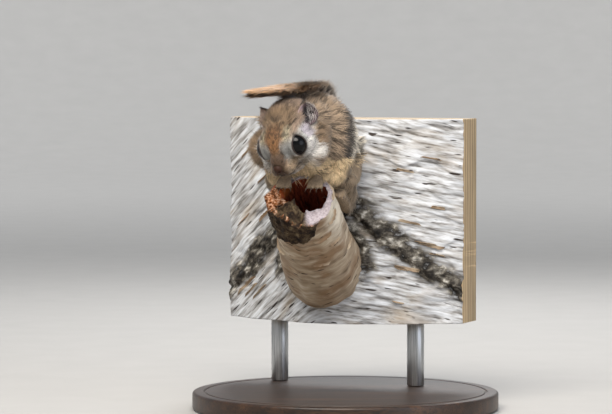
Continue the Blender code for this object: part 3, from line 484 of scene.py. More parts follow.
# Rows of the stub from its root to its rim, over the broken rim and down the hollow: the outer radius, how
# far inward, how far along, how much of the ragged rim, and the zone, as bark, torn wood or rot.
BARK, TORN, ROTTEN = range(3)
stub_rows = [(STUB_ROOT_RADIUS * 0.7, 0.0, -0.010, 0.0, BARK)]
for k in range(STUB_STEPS + 1):
    share = 1 - (1 - k / STUB_STEPS) ** 1.35
    stub_rows.append((stub_width(share), 0.0, stub_length * share, share**4, BARK))
for k in range(1, TORN_ROWS + 1):
    stub_rows.append((STUB_RADIUS, k / TORN_ROWS, stub_length + 0.0006 * waver(k * 0.7, 3.0), 1.0, TORN))
for k in range(1, HOLLOW_ROWS + 1):
    share = k / HOLLOW_ROWS
    depth = stub_length - STUB_HOLLOW_DEPTH * share
    stub_rows.append((STUB_RADIUS - 0.0034 * share**2, 1.0, depth, 1.0 - share, ROTTEN))

mesh = bmesh.new()
flat_layer = mesh.loops.layers.uv.new("flat")
warm_layer = mesh.verts.layers.float.new("warm")
pale_layer = mesh.verts.layers.float.new("pale")
# The warm value marks raw orange wood, at the edges and the rim's left end, and the pale value weathered wood.
ring_points = []
for outer, inward, distance, jag, zone in stub_rows:
    ring = []
    for k in range(STUB_SIDES):
        angle = 2 * math.pi * k / STUB_SIDES
        vertex = mesh.verts.new(stub_point(angle, outer, inward, distance, jag))
        depth = stub_length - distance
        left_end = soft(apart(angle, 2.0), 40.0, 18.0)
        if zone == ROTTEN:
            vertex[warm_layer] = 0.8 * soft(apart(angle, 8.0), 60.0, 20.0) * soft(depth, 0.012, 0.002)
            vertex[pale_layer] = soft(apart(angle, 228.0), 60.0, 34.0) * soft(depth, 0.019, 0.012)
        elif zone == TORN:
            edge = soft(inward, 0.16, 0.02) * (0.72 + 0.5 * ripple(angle, 14.0, 3.0))
            vertex[warm_layer] = max(edge, 0.9 * left_end)
            vertex[pale_layer] = soft(apart(angle, 304.0), 44.0, 62.0) * soft(apart(angle, 10.0), 35.0, 65.0)
        else:
            edge = soft(depth, 0.0008, 0.0) * (0.60 + 0.5 * ripple(angle, 14.0, 3.0))
            vertex[warm_layer] = max(edge, 0.9 * left_end * soft(depth, 0.006, 0.003))
            vertex[pale_layer] = 0.9 * soft(apart(angle, 168.0), 75.0, 25.0) * soft(depth, 0.040, 0.006)
        ring.append(vertex)
    ring_points.append(ring)
reach = 0.0
for r in range(len(stub_rows) - 1):
    step = (ring_points[r + 1][0].co - ring_points[r][0].co).length
    for k in range(STUB_SIDES):
        n = (k + 1) % STUB_SIDES
        lower, upper = ring_points[r], ring_points[r + 1]
        face = mesh.faces.new((lower[k], lower[n], upper[n], upper[k]))
        zone = stub_rows[r + 1][4]
        if zone == BARK and stub_rows[r][2] > bark_end(2 * math.pi * (k + 0.5) / STUB_SIDES):
            zone = TORN
        face.material_index = zone
        around = 2 * math.pi * STUB_RADIUS / STUB_SIDES
        for loop, (u, v) in zip(face.loops, ((k, 0), (k + 1, 0), (k + 1, 1), (k, 1))):
            loop[flat_layer].uv = (u * around, reach + v * step)
    reach += step
mesh.faces.new(ring_points[0])
mesh.faces.new(ring_points[-1]).material_index = ROTTEN
bmesh.ops.recalc_face_normals(mesh, faces=mesh.faces)
stub_mesh = bpy.data.meshes.new("stub")
mesh.to_mesh(stub_mesh)
mesh.free()
stub = added("stub", stub_mesh)
stub_mesh.shade_smooth()

# Bark of a birch branch: thin, smooth and papery, beige with brown patches, its pores round the branch.
# Streaks are 12 by 4 mm, patches 17 by 10 mm, and pores 7 by 2 mm.
branch_bark, tree, shader = finish("branch_bark", Roughness=0.66, Specular_IOR_Level=0.35)
flat = add(tree, "UVMap")
streak_place = add(tree, "Mapping", flat, Scale=(80.0, 270.0, 1.0))
streaks = add(tree, "TexNoise", streak_place, Scale=1.0, Detail=3.0, Roughness=0.6)
sheet = add(
    tree, "ValToRGB", streaks, stops=((0.28, "6A5844"), (0.42, "93806A"), (0.56, "AE9C84"), (0.72, "C9BBA8"))
)
patch_place = add(tree, "Mapping", flat, Scale=(60.0, 95.0, 1.0))
patches = add(tree, "TexNoise", patch_place, Scale=1.0, Detail=4.0, Distortion=0.8)
brown_mask = add(tree, "ValToRGB", patches, stops=((0.46, 0.0), (0.62, 0.8)))
browned = add(tree, "Mix", brown_mask, sheet, colour("86694C"))
pale_edge = add(tree, "Math", add(tree, "Attribute", attribute_name="pale"), streaks, operation="MULTIPLY")
pale_mask = add(tree, "ValToRGB", pale_edge, stops=((0.12, 0.0), (0.48, 0.9)))
paled = add(tree, "Mix", pale_mask, browned, colour("DCD2C0"))
pores = add(tree, "TexNoise", add(tree, "Mapping", flat, Scale=(150.0, 520.0, 1.0)), Scale=1.0, Detail=1.0)
pore_mask = add(tree, "ValToRGB", pores, stops=((0.67, 0.0), (0.71, 1.0)))
pored = add(tree, "Mix", pore_mask, paled, colour("3A2A20"))
relief = add(tree, "Math", streaks, pore_mask, operation="SUBTRACT")
feed(shader, Base_Color=pored, Normal=add(tree, "Bump", Strength=0.35, Distance=0.0004, Height=relief))

# Rotten birch wood, broken and weathered: dark brown and greenish, crumbly in lumps of 4 mm, with raw orange
# edges whose splits are 1 mm apart.
torn, tree, shader = finish("torn_birch_wood", Roughness=0.88, Specular_IOR_Level=0.25)
place = add(tree, "TexCoord")
clumps = add(tree, "TexNoise", place, Scale=260.0, Detail=6.0, Roughness=0.7)
decay = add(
    tree, "ValToRGB", clumps, stops=((0.34, "120C08"), (0.46, "33251A"), (0.57, "564734"), (0.72, "85765C"))
)
splits = add(tree, "TexNoise", place, Scale=900.0, Detail=4.0)
raw = add(tree, "ValToRGB", splits, stops=((0.36, "5E3016"), (0.5, "A8693C"), (0.64, "D9B49A")))
warm_edge = add(tree, "Math", add(tree, "Attribute", attribute_name="warm"), clumps, operation="MULTIPLY")
warm_mask = add(tree, "ValToRGB", warm_edge, stops=((0.28, 0.0), (0.48, 1.0)))
warmed = add(tree, "Mix", warm_mask, decay, raw)
bleached = add(tree, "Mix", add(tree, "Attribute", attribute_name="pale"), warmed, colour("B7ADB3"))
crumb_tone = add(tree, "ValToRGB", splits, stops=((0.32, 0.62), (0.58, 1.0)))
toned = add(tree, "Mix", 1.0, bleached, crumb_tone, blend_type="MULTIPLY")
feed(shader, Base_Color=toned, Normal=add(tree, "Bump", Strength=1.0, Distance=0.0008, Height=clumps))

# Rotted wood inside the hollow: crumbly and matt, red-brown, with a grey weathered side. Its fibres are about
# 1.6 mm wide and 9 mm long.
rotten, tree, shader = finish("rotten_wood", Roughness=0.95, Specular_IOR_Level=0.1)
flat = add(tree, "UVMap")
long_place = add(tree, "Mapping", flat, Scale=(620.0, 110.0, 1.0))
rot = add(tree, "TexNoise", long_place, Scale=1.0, Detail=5.0, Roughness=0.68)
rot_tone = add(
    tree, "ValToRGB", rot, stops=((0.34, "381912"), (0.5, "6B3020"), (0.64, "8E4830"), (0.78, "A9684A"))
)
reddened = add(tree, "Mix", add(tree, "Attribute", attribute_name="warm"), rot_tone, colour("B0692F"))
grey_tone = add(tree, "ValToRGB", rot, stops=((0.3, "7E7376"), (0.5, "B9B0B6"), (0.7, "E2DDE2")))
greyed = add(tree, "Mix", add(tree, "Attribute", attribute_name="pale"), reddened, grey_tone)
feed(shader, Base_Color=greyed, Normal=add(tree, "Bump", Strength=0.8, Distance=0.0005, Height=rot))

zones = read(stub_mesh, "polygons", "material_index", 1, np.int32).ravel()
dress(stub, branch_bark, "birch_bark", "perch_stub")
for material in (torn, rotten):
    stub_mesh.materials.append(material)
stub_mesh.polygons.foreach_set("material_index", zones)


# Loose bark.
# Papery strips that peel off the trunk and the stub and curl outwards, with a tan inner side, and one
# red-brown flap that curls in at the left of the broken rim. Each is held by one edge.


def piece(name, points, triangles):
    """A new object from points and triangles."""
    data = bpy.data.meshes.new(name)
    count = len(triangles)
    data.vertices.add(len(points))
    data.vertices.foreach_set("co", np.asarray(points, np.float32).ravel())
    data.loops.add(count * 3)
    data.loops.foreach_set("vertex_index", np.asarray(triangles, np.int32).ravel())
    data.polygons.add(count)
    data.polygons.foreach_set("loop_start", np.arange(0, count * 3, 3, dtype=np.int32))
    data.update(calc_edges=True)
    data.shade_smooth()
    return added(name, data)


def gathered(parts):
    """Several sets of points and triangles as one."""
    points, triangles, start = [], [], 0
    for some_points, some_triangles in parts:
        points.append(some_points)
        triangles.append(np.asarray(some_triangles) + start)
        start += len(some_points)
    return np.vstack(points), np.vstack(triangles)


def on_trunk(start_across, start_height):
    """A surface for a strip of bark: along its grain from a place, and up."""

    def surface(u, v):
        across = start_across + u
        height = start_height + v - (grain_height(across, 0.0) - grain_height(start_across, 0.0))
        return trunk_frame @ Vector((across, bark_depth(across, height), height))

    return surface


def on_stub(start_angle, start_distance):
    """A surface for a strip of bark: round the stub from a place, and along it."""

    def surface(u, v):
        distance = start_distance + v
        width = stub_width(distance / stub_length)
        return stub_point(start_angle + u / width, width, 0.0, min(distance, bark_end(start_angle)), 0.0)

    return surface


def sheet_triangles(rows, columns):
    """Triangles of a sheet whose points stand in rows."""
    triangles = []
    for r in range(rows - 1):
        for a in range(r * columns, (r + 1) * columns - 1):
            triangles += [(a, a + 1, a + columns + 1), (a, a + columns + 1, a + columns)]
    return np.array(triangles)


STRIP_COLUMNS = 15
STRIP_ROWS = 8


def strip(surface, wide, tall, curl, key):
    """A sheet that leaves a surface along one long edge and curls off it: points, triangles and flat places."""
    points, places = [], []
    for r in range(STRIP_ROWS):
        for c in range(STRIP_COLUMNS):
            side = 2 * c / (STRIP_COLUMNS - 1) - 1
            ragged = 0.72 + 0.28 * waver(side * 4.0, key) + 0.16 * waver(side * 13.0, key + 5.0)
            length = tall * ragged * (1 - side**6) * r / (STRIP_ROWS - 1)
            turn = curl * length / tall
            out = tall / curl * (1 - math.cos(turn)) + 0.0001
            along = tall / curl * math.sin(turn)
            u = wide / 2 * side
            here = surface(u, along)
            normal = (surface(u + 0.002, along) - surface(u - 0.002, along)).cross(
                surface(u, along + 0.002) - surface(u, along - 0.002)
            )
            points.append(here + normal.normalized() * out)
            places.append((u + key, length))
    return np.array(points), sheet_triangles(STRIP_ROWS, STRIP_COLUMNS), np.array(places)


# All the random numbers come from one fixed start.
rng = np.random.default_rng(5)
TRUNK_STRIPS = 18
TRUNK_CLEAR = 0.030
strips = []
while len(strips) < TRUNK_STRIPS:
    across = (rng.random() * 2 - 1) * (SLAB_HALF_WIDTH - 0.009)
    height = SLAB_BOTTOM + 0.010 + rng.random() * (SLAB_TOP - SLAB_BOTTOM - 0.022)
    wide, tall, curl = 0.005 + 0.007 * rng.random(), 0.0012 + 0.0014 * rng.random(), 1.0 + 1.8 * rng.random()
    if abs(across) < TRUNK_CLEAR or ridge_share(across, height, ROUGH_WIDTH) > 0.5:
        continue
    way = 1 if rng.random() < 0.6 else -1
    surface = on_trunk(across, height)
    strips.append(strip(lambda u, v: surface(u * way, v * way), wide, tall, curl, len(strips) * 1.7))
# Strips on the stub: degrees round it, how far back from the rim, width, height and curl.
for angle, back, wide, tall, curl in (
    (150.0, 0.0010, 0.012, 0.0022, 1.6),
    (196.0, 0.0060, 0.009, 0.0020, 1.8),
    (232.0, 0.0120, 0.010, 0.0024, 1.4),
    (214.0, 0.0200, 0.007, 0.0016, 2.2),
    (250.0, 0.0300, 0.009, 0.0016, 1.6),
    (282.0, 0.0230, 0.010, 0.0018, 1.4),
    (330.0, 0.0260, 0.011, 0.0020, 1.7),
    (185.0, 0.0330, 0.008, 0.0015, 1.9),
    (300.0, 0.0360, 0.007, 0.0015, 1.8),
):
    surface = on_stub(math.radians(angle), stub_length - back)
    strips.append(strip(lambda u, v: surface(u, -v), wide, tall, curl, 60.0 + angle))
peels = piece("bark_peels", *gathered([(points, triangles) for points, triangles, _ in strips]))
lay_flat(peels, np.vstack([places for _, _, places in strips]))
shaped(peels, "SOLIDIFY", thickness=0.00022, offset=0.0, material_offset=1)

# The inner side of birch bark: smooth and tan, with darker lines round the trunk, 1 mm apart.
inner_bark, tree, shader = finish("inner_bark", Roughness=0.6)
flat = add(tree, "UVMap")
lines = add(tree, "TexNoise", add(tree, "Mapping", flat, Scale=(60.0, 900.0, 1.0)), Scale=1.0, Detail=4.0)
feed(shader, Base_Color=add(tree, "ValToRGB", lines, stops=((0.32, "A08A70"), (0.66, "D2BFA4"))))
dress(peels, branch_bark, "birch_bark")
peels.data.materials.append(inner_bark)

# The flap: a tongue that stands at the rim's left, across the stub, with its sides curled back.
FLAP_HEIGHT = 0.0088
FLAP_HALF_WIDTH = 0.0034
FLAP_COLUMNS = 22
FLAP_ROWS = 16
flap_foot = STUB_RIM + stub_right * 0.0118 + stub_top * 0.0002 + stub_along * 0.0010
flap_up = (stub_top + stub_right * 0.10).normalized()
flap_side = stub_along.cross(flap_up)
flap_points, flap_places = [], []
for r in range(FLAP_ROWS):
    for c in range(FLAP_COLUMNS):
        side = 2 * c / (FLAP_COLUMNS - 1) - 1
        share = r / (FLAP_ROWS - 1)
        half = FLAP_HALF_WIDTH * (0.80 + 0.28 * math.sin(share * 2.6)) * (1 - 0.42 * share**5)
        rise = FLAP_HEIGHT * share * (1 - 0.22 * abs(side) ** 2.5 + 0.06 * waver(side * 4.0, 3.0))
        curl = 0.0022 * (1 - math.cos(1.5 * side)) + 0.0016 * share**2
        spot = flap_foot + flap_up * rise + flap_side * (half * math.sin(1.35 * side)) - stub_along * curl
        flap_points.append(spot + stub_along * 0.0004 * waver(side * 3.0, share * 4.0))
        flap_places.append((side * 0.004, rise))
flap = piece("bark_flap", flap_points, sheet_triangles(FLAP_ROWS, FLAP_COLUMNS))
lay_flat(flap, flap_places)
shaped(flap, "SOLIDIFY", thickness=0.0005, offset=0.0)

# Dried inner bark: thin, glossy and red-brown, so that light glows through it. Its streaks are 7 by 2 mm.
dried, tree, shader = finish(
    "dried_inner_bark", Roughness=0.42, Subsurface_Weight=0.6, Subsurface_Scale=0.0012,
    Subsurface_Radius=(1.0, 0.35, 0.12),
)
flat = add(tree, "UVMap")
lines = add(tree, "TexNoise", add(tree, "Mapping", flat, Scale=(150.0, 420.0, 1.0)), Scale=1.0, Detail=4.0)
feed(shader, Base_Color=add(tree, "ValToRGB", lines, stops=((0.34, "5A200E"), (0.52, "9A4A1C"), (0.7, "C57F45"))))
dress(flap, dried, "birch_bark")


# Skin.
# One hide over head, body, legs, feet, skin folds and the slim bone of the tail, with no seam.
# It lies under the coat by the coat's depth, and carries the coat's markings and painted shade, a little darker.

HEAD_CENTRE = np.array((-0.0254, -0.0440, 0.1246))
HEAD_TURNS = (math.radians(25.0), math.radians(40.0), math.radians(12.0))
BODY_CENTRE = np.array((-0.0150, -0.0150, 0.1180))
BODY_TURNS = (math.radians(15.0), 0.0, 0.0)
# Places along the tail, each with half its width and half its thickness.
TAIL_POINTS = (
    (-0.0120, 0.0060, 0.1040, 0.0050, 0.0030),
    (-0.0120, 0.0118, 0.1150, 0.0065, 0.0030),
    (-0.0124, 0.0096, 0.1262, 0.0080, 0.0030),
    (-0.0135, -0.0008, 0.1366, 0.0096, 0.0028),
    (-0.0160, -0.0125, 0.1434, 0.0114, 0.0028),
    (-0.0205, -0.0245, 0.1462, 0.0123, 0.0026),
    (-0.0275, -0.0345, 0.1464, 0.0112, 0.0022),
    (-0.0365, -0.0410, 0.1456, 0.0078, 0.0018),
    (-0.0455, -0.0450, 0.1448, 0.0024, 0.0010),
)
# Across the tail at its root and at its free end.
TAIL_LEANS = (np.array((0.95, 0.30, 0.0)), np.array((0.55, -0.83, 0.0)))
TAIL_STEPS = 72
TAIL_CORE = 0.34
SKIN_VOXEL = 0.00050
HEAD, BODY, LIMB, PAW, FOLD, TAIL = range(6)
# How deep the skin lies under the coat, for each kind of part in that order.
COAT_DEPTH = np.array((0.0010, 0.0028, 0.0011, 0.0001, 0.0011, 0.0002))
FLESH = {"head": HEAD, "neck": BODY, "torso": BODY}
for word in SIDES:
    FLESH.update({"arm_" + word: LIMB, "thigh_" + word: LIMB, "shin_" + word: LIMB})
    FLESH.update({"hand_" + word: PAW, "foot_" + word: PAW, "flight_skin_" + word: FOLD})


def heading(yaw, pitch, roll):
    """Rows of forward, left and up. Yaw 0 faces -Y, and pitch lowers the nose."""
    forward = Vector((-math.sin(yaw) * math.cos(pitch), -math.cos(yaw) * math.cos(pitch), -math.sin(pitch)))
    left = Matrix.Rotation(roll, 3, forward) @ Vector((math.cos(yaw), -math.sin(yaw), 0.0))
    return np.array([forward, left, forward.cross(left)])


head_rows = heading(*HEAD_TURNS)
body_rows = heading(*BODY_TURNS)


def in_head(points):
    """World places as (nose, left, up) from the head's middle."""
    return (points - HEAD_CENTRE) @ head_rows.T


def from_head(places):
    """World places of (nose, left, up) from the head's middle."""
    return HEAD_CENTRE + places @ head_rows


def in_body(points):
    """World places as (forward, left, up) from the body's middle."""
    return (points - BODY_CENTRE) @ body_rows.T


def unit(rows):
    """Rows scaled to length 1."""
    return rows / np.maximum(np.linalg.norm(rows, axis=-1, keepdims=True), 1e-12)


def square_to(axes, rows):
    """Rows turned square to their axes and scaled to length 1."""
    return unit(rows - axes * (rows * axes).sum(1, keepdims=True))


def ring_triangles(rings, sides):
    """Triangles between rings of points, closed at both ends by the two points that follow them."""
    triangles = []
    last = (rings - 1) * sides
    for k in range(sides):
        n = (k + 1) % sides
        for r in range(0, last, sides):
            triangles += [(r + k, r + n, r + sides + n), (r + k, r + sides + n, r + sides + k)]
        triangles += [(rings * sides, n, k), (rings * sides + 1, last + k, last + n)]
    return np.array(triangles)


def smooth_line(points, steps):
    """A curve through rows of numbers, with that many steps in all."""
    rows = np.array(points, float)
    rows = np.vstack([rows[0] * 2 - rows[1], rows, rows[-1] * 2 - rows[-2]])
    at = np.minimum(np.linspace(0, 1, steps + 1) * (len(rows) - 3), len(rows) - 3 - 1e-9)
    k = at.astype(int)
    t = (at - k)[:, None]
    a, b, c, d = rows[k], rows[k + 1], rows[k + 2], rows[k + 3]
    return 0.5 * (b * 2 + (c - a) * t + (a * 2 - b * 5 + c * 4 - d) * t**2 + (b * 3 - a - c * 3 + d) * t**3)


def tube(line, across, wide, high, sides):
    """Points and triangles of a closed tube along a line. Wide and high are its half sizes at each step."""
    along = unit(np.gradient(line, axis=0))
    across = square_to(along, across)
    up = np.cross(along, across)
    turn = np.linspace(0, 2 * math.pi, sides, endpoint=False)
    ring = (
        line[:, None]
        + across[:, None] * (np.cos(turn)[None, :, None] * np.reshape(wide, (-1, 1, 1)))
        + up[:, None] * (np.sin(turn)[None, :, None] * np.reshape(high, (-1, 1, 1)))
    )
    ends = (line[0] - along[0] * high[0] * 0.5, line[-1] + along[-1] * high[-1] * 0.5)
    return np.vstack([ring.reshape(-1, 3), *ends]), ring_triangles(len(line), sides)


def flesh_of(name, grow):
    """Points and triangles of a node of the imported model, merged and grown outwards."""
    mesh = bmesh.new()
    mesh.from_mesh(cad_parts[name].data)
    bmesh.ops.remove_doubles(mesh, verts=mesh.verts, dist=1e-6)
    bmesh.ops.triangulate(mesh, faces=mesh.faces)
    mesh.normal_update()
    points = np.array([v.co + v.normal * grow for v in mesh.verts])
    triangles = np.array([[v.index for v in f.verts] for f in mesh.faces])
    mesh.free()
    return points, triangles


tail_rows = smooth_line(TAIL_POINTS, TAIL_STEPS)
tail_line, tail_wide, tail_high = tail_rows[:, :3], tail_rows[:, 3], tail_rows[:, 4]
tail_along = unit(np.gradient(tail_line, axis=0))
tail_share = np.linspace(0, 1, TAIL_STEPS + 1)[:, None]
root_lean, end_lean = TAIL_LEANS
tail_lean = root_lean + ((end_lean - root_lean) * np.maximum(0.0, tail_share - 0.45) / 0.55)
tail_across = square_to(tail_along, tail_lean)
tail_up = np.cross(tail_along, tail_across)

kept = slice(3, int(TAIL_STEPS * 0.93))
core = tube(tail_line[kept], tail_across[kept], tail_wide[kept] * TAIL_CORE, tail_high[kept] * 0.6, 12)
flesh = [(flesh_of(name, 0.0002), part) for name, part in FLESH.items()]
flesh.append((core, TAIL))
flesh += [(flesh_of("eye_" + word, 0.0003), HEAD) for word in SIDES]
flesh_parts = np.concatenate([np.full(len(triangles), part) for (_, triangles), part in flesh])
flesh_points, flesh_triangles = gathered([solid for solid, _ in flesh])
skin = piece("skin", flesh_points, flesh_triangles)
shaped(skin, "REMESH", mode="VOXEL", voxel_size=SKIN_VOXEL)


def blended(edges, values, times):
    """Values at the points of a mesh, each mixed with its neighbours that many times."""
    count = np.maximum(np.bincount(edges.ravel(), minlength=len(values)), 1)[:, None]
    for _ in range(times):
        total = np.zeros_like(values)
        for column in range(values.shape[1]):
            total[:, column] = np.bincount(edges[:, 0], values[edges[:, 1], column], len(values))
            total[:, column] += np.bincount(edges[:, 1], values[edges[:, 0], column], len(values))
        values = 0.5 * values + 0.5 * total / count
    return values


# Places on the head are (nose, left, up) from its middle.
EYE_CENTRE = np.array((0.0067, 0.0072, 0.0019))
EYE_RADIUS = 0.0052
EYE_REACH = 0.0100
LID_GAP = 0.00025
LID_SINK = 0.0009
EYE_LOOK = (0.60, 0.78, 0.18)
# Half the lids' opening across and up as seen from the eye's middle, and how pointed its corners are.
LID_WIDE = math.radians(38.5)
LID_HIGH = math.radians(62.0)
LID_POINT = 0.55
MOUTH_START = np.array((0.0050, 0.0, -0.0062))
EAR_MIDDLE = {1: np.array((-0.0051, 0.0121, 0.0079)), -1: np.array((-0.0046, -0.0110, 0.0100))}
# Where each ear opens. The left one is nearer to the photograph's eye.
EAR_OPENING = {1: np.array((0.54, 0.76, 0.36)), -1: np.array((0.25, 0.90, 0.36))}
EAR_AXIS = np.array((-0.58, 0.0, 0.82))
EAR_TALL = 0.0048
EAR_WIDE = 0.0047


def eye_place(side):
    """The eye's middle and its axes: where it looks, across and up the lids."""
    look = unit(np.array(EYE_LOOK) * (1, side, 1))
    up = np.array((-0.25, 0.20 * side, 1.0))
    up = unit(up - look * (up @ look))
    rows = np.array((look, np.cross(up, look), up)) @ head_rows
    return from_head(EYE_CENTRE * (1, side, 1)), rows


def eye_distance(local):
    """How far places in the head's frame are from the nearer eye's middle."""
    return np.linalg.norm(np.abs(local * (0, 1, 0)) + local * (1, 0, 1) - EYE_CENTRE, axis=1)


def lid_opening(points):
    """How far out places are round the nearer eye, as a share of the lids' opening: 1 at its pointed rim."""
    shares = []
    for side in SIDES.values():
        middle, rows = eye_place(side)
        toward = unit(points - middle) @ rows.T
        tilt = np.arccos(np.clip(toward[:, 0], -1, 1))
        way = np.arctan2(toward[:, 2], toward[:, 1])
        wide, high = np.abs(tilt * np.cos(way)) / LID_WIDE, np.abs(tilt * np.sin(way)) / LID_HIGH
        share = np.sqrt(wide ** (2 / (1 + LID_POINT)) + high**2)
        near = np.linalg.norm(points - middle, axis=1) < EYE_REACH
        shares.append(np.where(near, share, 9.0))
    return np.minimum(*shares)


def ear_place(side):
    """The middle of an ear's rim and its axes: where it opens, across and up to its tip."""
    opening = unit(EAR_OPENING[side] * (1, side, 1))
    up = unit(EAR_AXIS - opening * (EAR_AXIS @ opening))
    rows = np.array((opening, np.cross(up, opening), up)) @ head_rows
    return from_head(EAR_MIDDLE[side]), rows


def in_ear(points, side):
    """How far out places are from an ear's middle, as a share of its rim, and how far in front of the rim."""
    middle, rows = ear_place(side)
    front, across, up = ((points - middle) @ rows.T).T
    return np.hypot(across / EAR_WIDE, up / EAR_TALL), front


def mouth_line(local, width):
    """1 on the closed lips' line, which runs back from under the nose to both sides, and 0 away from it."""
    spot = local - MOUTH_START
    turn = np.arctan2(np.abs(spot[:, 1]), spot[:, 0]) / math.radians(60.0)
    level = -(0.02 + 0.10 * np.minimum(turn, 1.5) ** 1.5) * np.hypot(spot[:, 0], spot[:, 1])
    return np.exp(-(((spot[:, 2] - level) / width) ** 2)) * soft(turn, 1.15, 0.95)


def move(obj, points):
    """Puts the points of a piece at new places."""
    obj.data.vertices.foreach_set("co", points.astype(np.float32).ravel())
    obj.data.update()


skin_edges = read(skin.data, "edges", "vertices", 2, np.int32)
skin_points = blended(skin_edges, read(skin.data, "vertices", "co", 3), 3)
source_tree = BVHTree.FromPolygons(flesh_points.tolist(), flesh_triangles.tolist())
nearest = [source_tree.find_nearest(Vector(p))[2] for p in skin_points]
skin_parts = flesh_parts[nearest]
depth = COAT_DEPTH[skin_parts]
local = in_head(skin_points)
is_head = skin_parts == HEAD
near_eye = soft(eye_distance(local), 0.0060, 0.0095)
near_nose = soft(np.linalg.norm(local - (0.0170, 0.0, -0.0022), axis=1), 0.0030, 0.0110)
depth = np.where(is_head, depth * (0.12 + 0.88 * near_eye) * near_nose, depth)
depth = blended(skin_edges, depth[:, None], 10)
move(skin, skin_points)
skin_normals = blended(skin_edges, read(skin.data, "vertex_normals", "vector", 3), 4)
skin_points = blended(skin_edges, skin_points - unit(skin_normals) * depth, 2)

# The lids' openings are sunk behind the eyes, the skin round them hugs the eyes, and the lips have their line.
opening = lid_opening(skin_points)
for side in SIDES.values():
    middle, _ = eye_place(side)
    reach = np.linalg.norm(skin_points - middle, axis=1)
    near = is_head & (reach < EYE_REACH)
    snug, near_rim = EYE_RADIUS + LID_GAP, soft(opening, 1.7, 1.0)
    hugging = np.maximum(reach, snug) * near_rim + reach * (1 - near_rim)
    hugging = np.where(opening < 1.7, np.minimum(hugging, snug + 0.0030 * soft(opening, 1.0, 1.9)), reach)
    target = np.where(opening < 1.0, np.minimum(reach, EYE_RADIUS - LID_SINK), hugging)
    moved = middle + unit(skin_points - middle) * target[:, None]
    skin_points = np.where(near[:, None], moved, skin_points)
# The skull is dished behind each ear's cup.
for side in SIDES.values():
    out, front = in_ear(skin_points, side)
    _, ear_rows = ear_place(side)
    sink = np.maximum(front + 0.0040, 0.0) * soft(out, 1.05, 0.80) * (front > -0.0080)
    skin_points = skin_points - ear_rows[0] * sink[:, None]
lips = mouth_line(in_head(skin_points), 0.0005) * is_head
skin_points = skin_points - unit(skin_normals) * (0.0006 * lips)[:, None]
move(skin, skin_points)
skin.data.shade_smooth()

# Markings, as named colours: how the coat looks at a place on the animal. Some of them are painted shade and light.
RUST = "8A6442"
FOREHEAD = "8A735A"
CROWN = "A08A78"
MUZZLE = "5A4636"
MUZZLE_SIDE = "A68F74"
EYE_RING = "C4C3BF"
EYE_SIDE = "A9A58E"
CHEEK = "BDB4AA"
LILAC = "C9C1CA"
CHEEK_TUFT = "EFEAE3"
LIP = "3A2A24"
BACK = "A8927A"
NECK = "967E64"
# Grey-tan chest fur, darkened further as painted shade under the chin.
CHEST_TAN_AND_SHADE = "7A6654"
FLANK = "55504C"
FOLD_EDGE = "EADFCC"
BELLY = "E8CCA2"
LEG = "AE9A82"
FOOT = "D2B99C"
TAIL_TOP = "CBA27A"
# Painted shade: the dark underside of the tail's free end stands for the tail's own shadow.
TAIL_UNDER_SHADE = "8E6C4C"
# Pale fur of the tail near its root, and painted light that lifts the shaded underside there.
TAIL_PALE_AND_UNDERLIGHT = "EFE3D2"
# The edge of the skin fold along the side, as (forward, up) from the body's middle.
FOLD_LINE = (
    (-0.0185, -0.0006), (-0.0135, 0.0048), (-0.0060, 0.0056), (0.0020, 0.0026), (0.0105, -0.0012),
    (0.0155, -0.0046), (0.0175, -0.0078),
)


def shade_of(code):
    """A named colour as an array of its three parts."""
    return np.array(colour(code)[:3])


def layered(tone, *layers):
    """Lays named colours over a tone one after another, each as far as its mask says."""
    for code, mask in layers:
        tone = tone + (shade_of(code) - tone) * np.clip(mask, 0.0, 1.0)[..., None]
    return tone


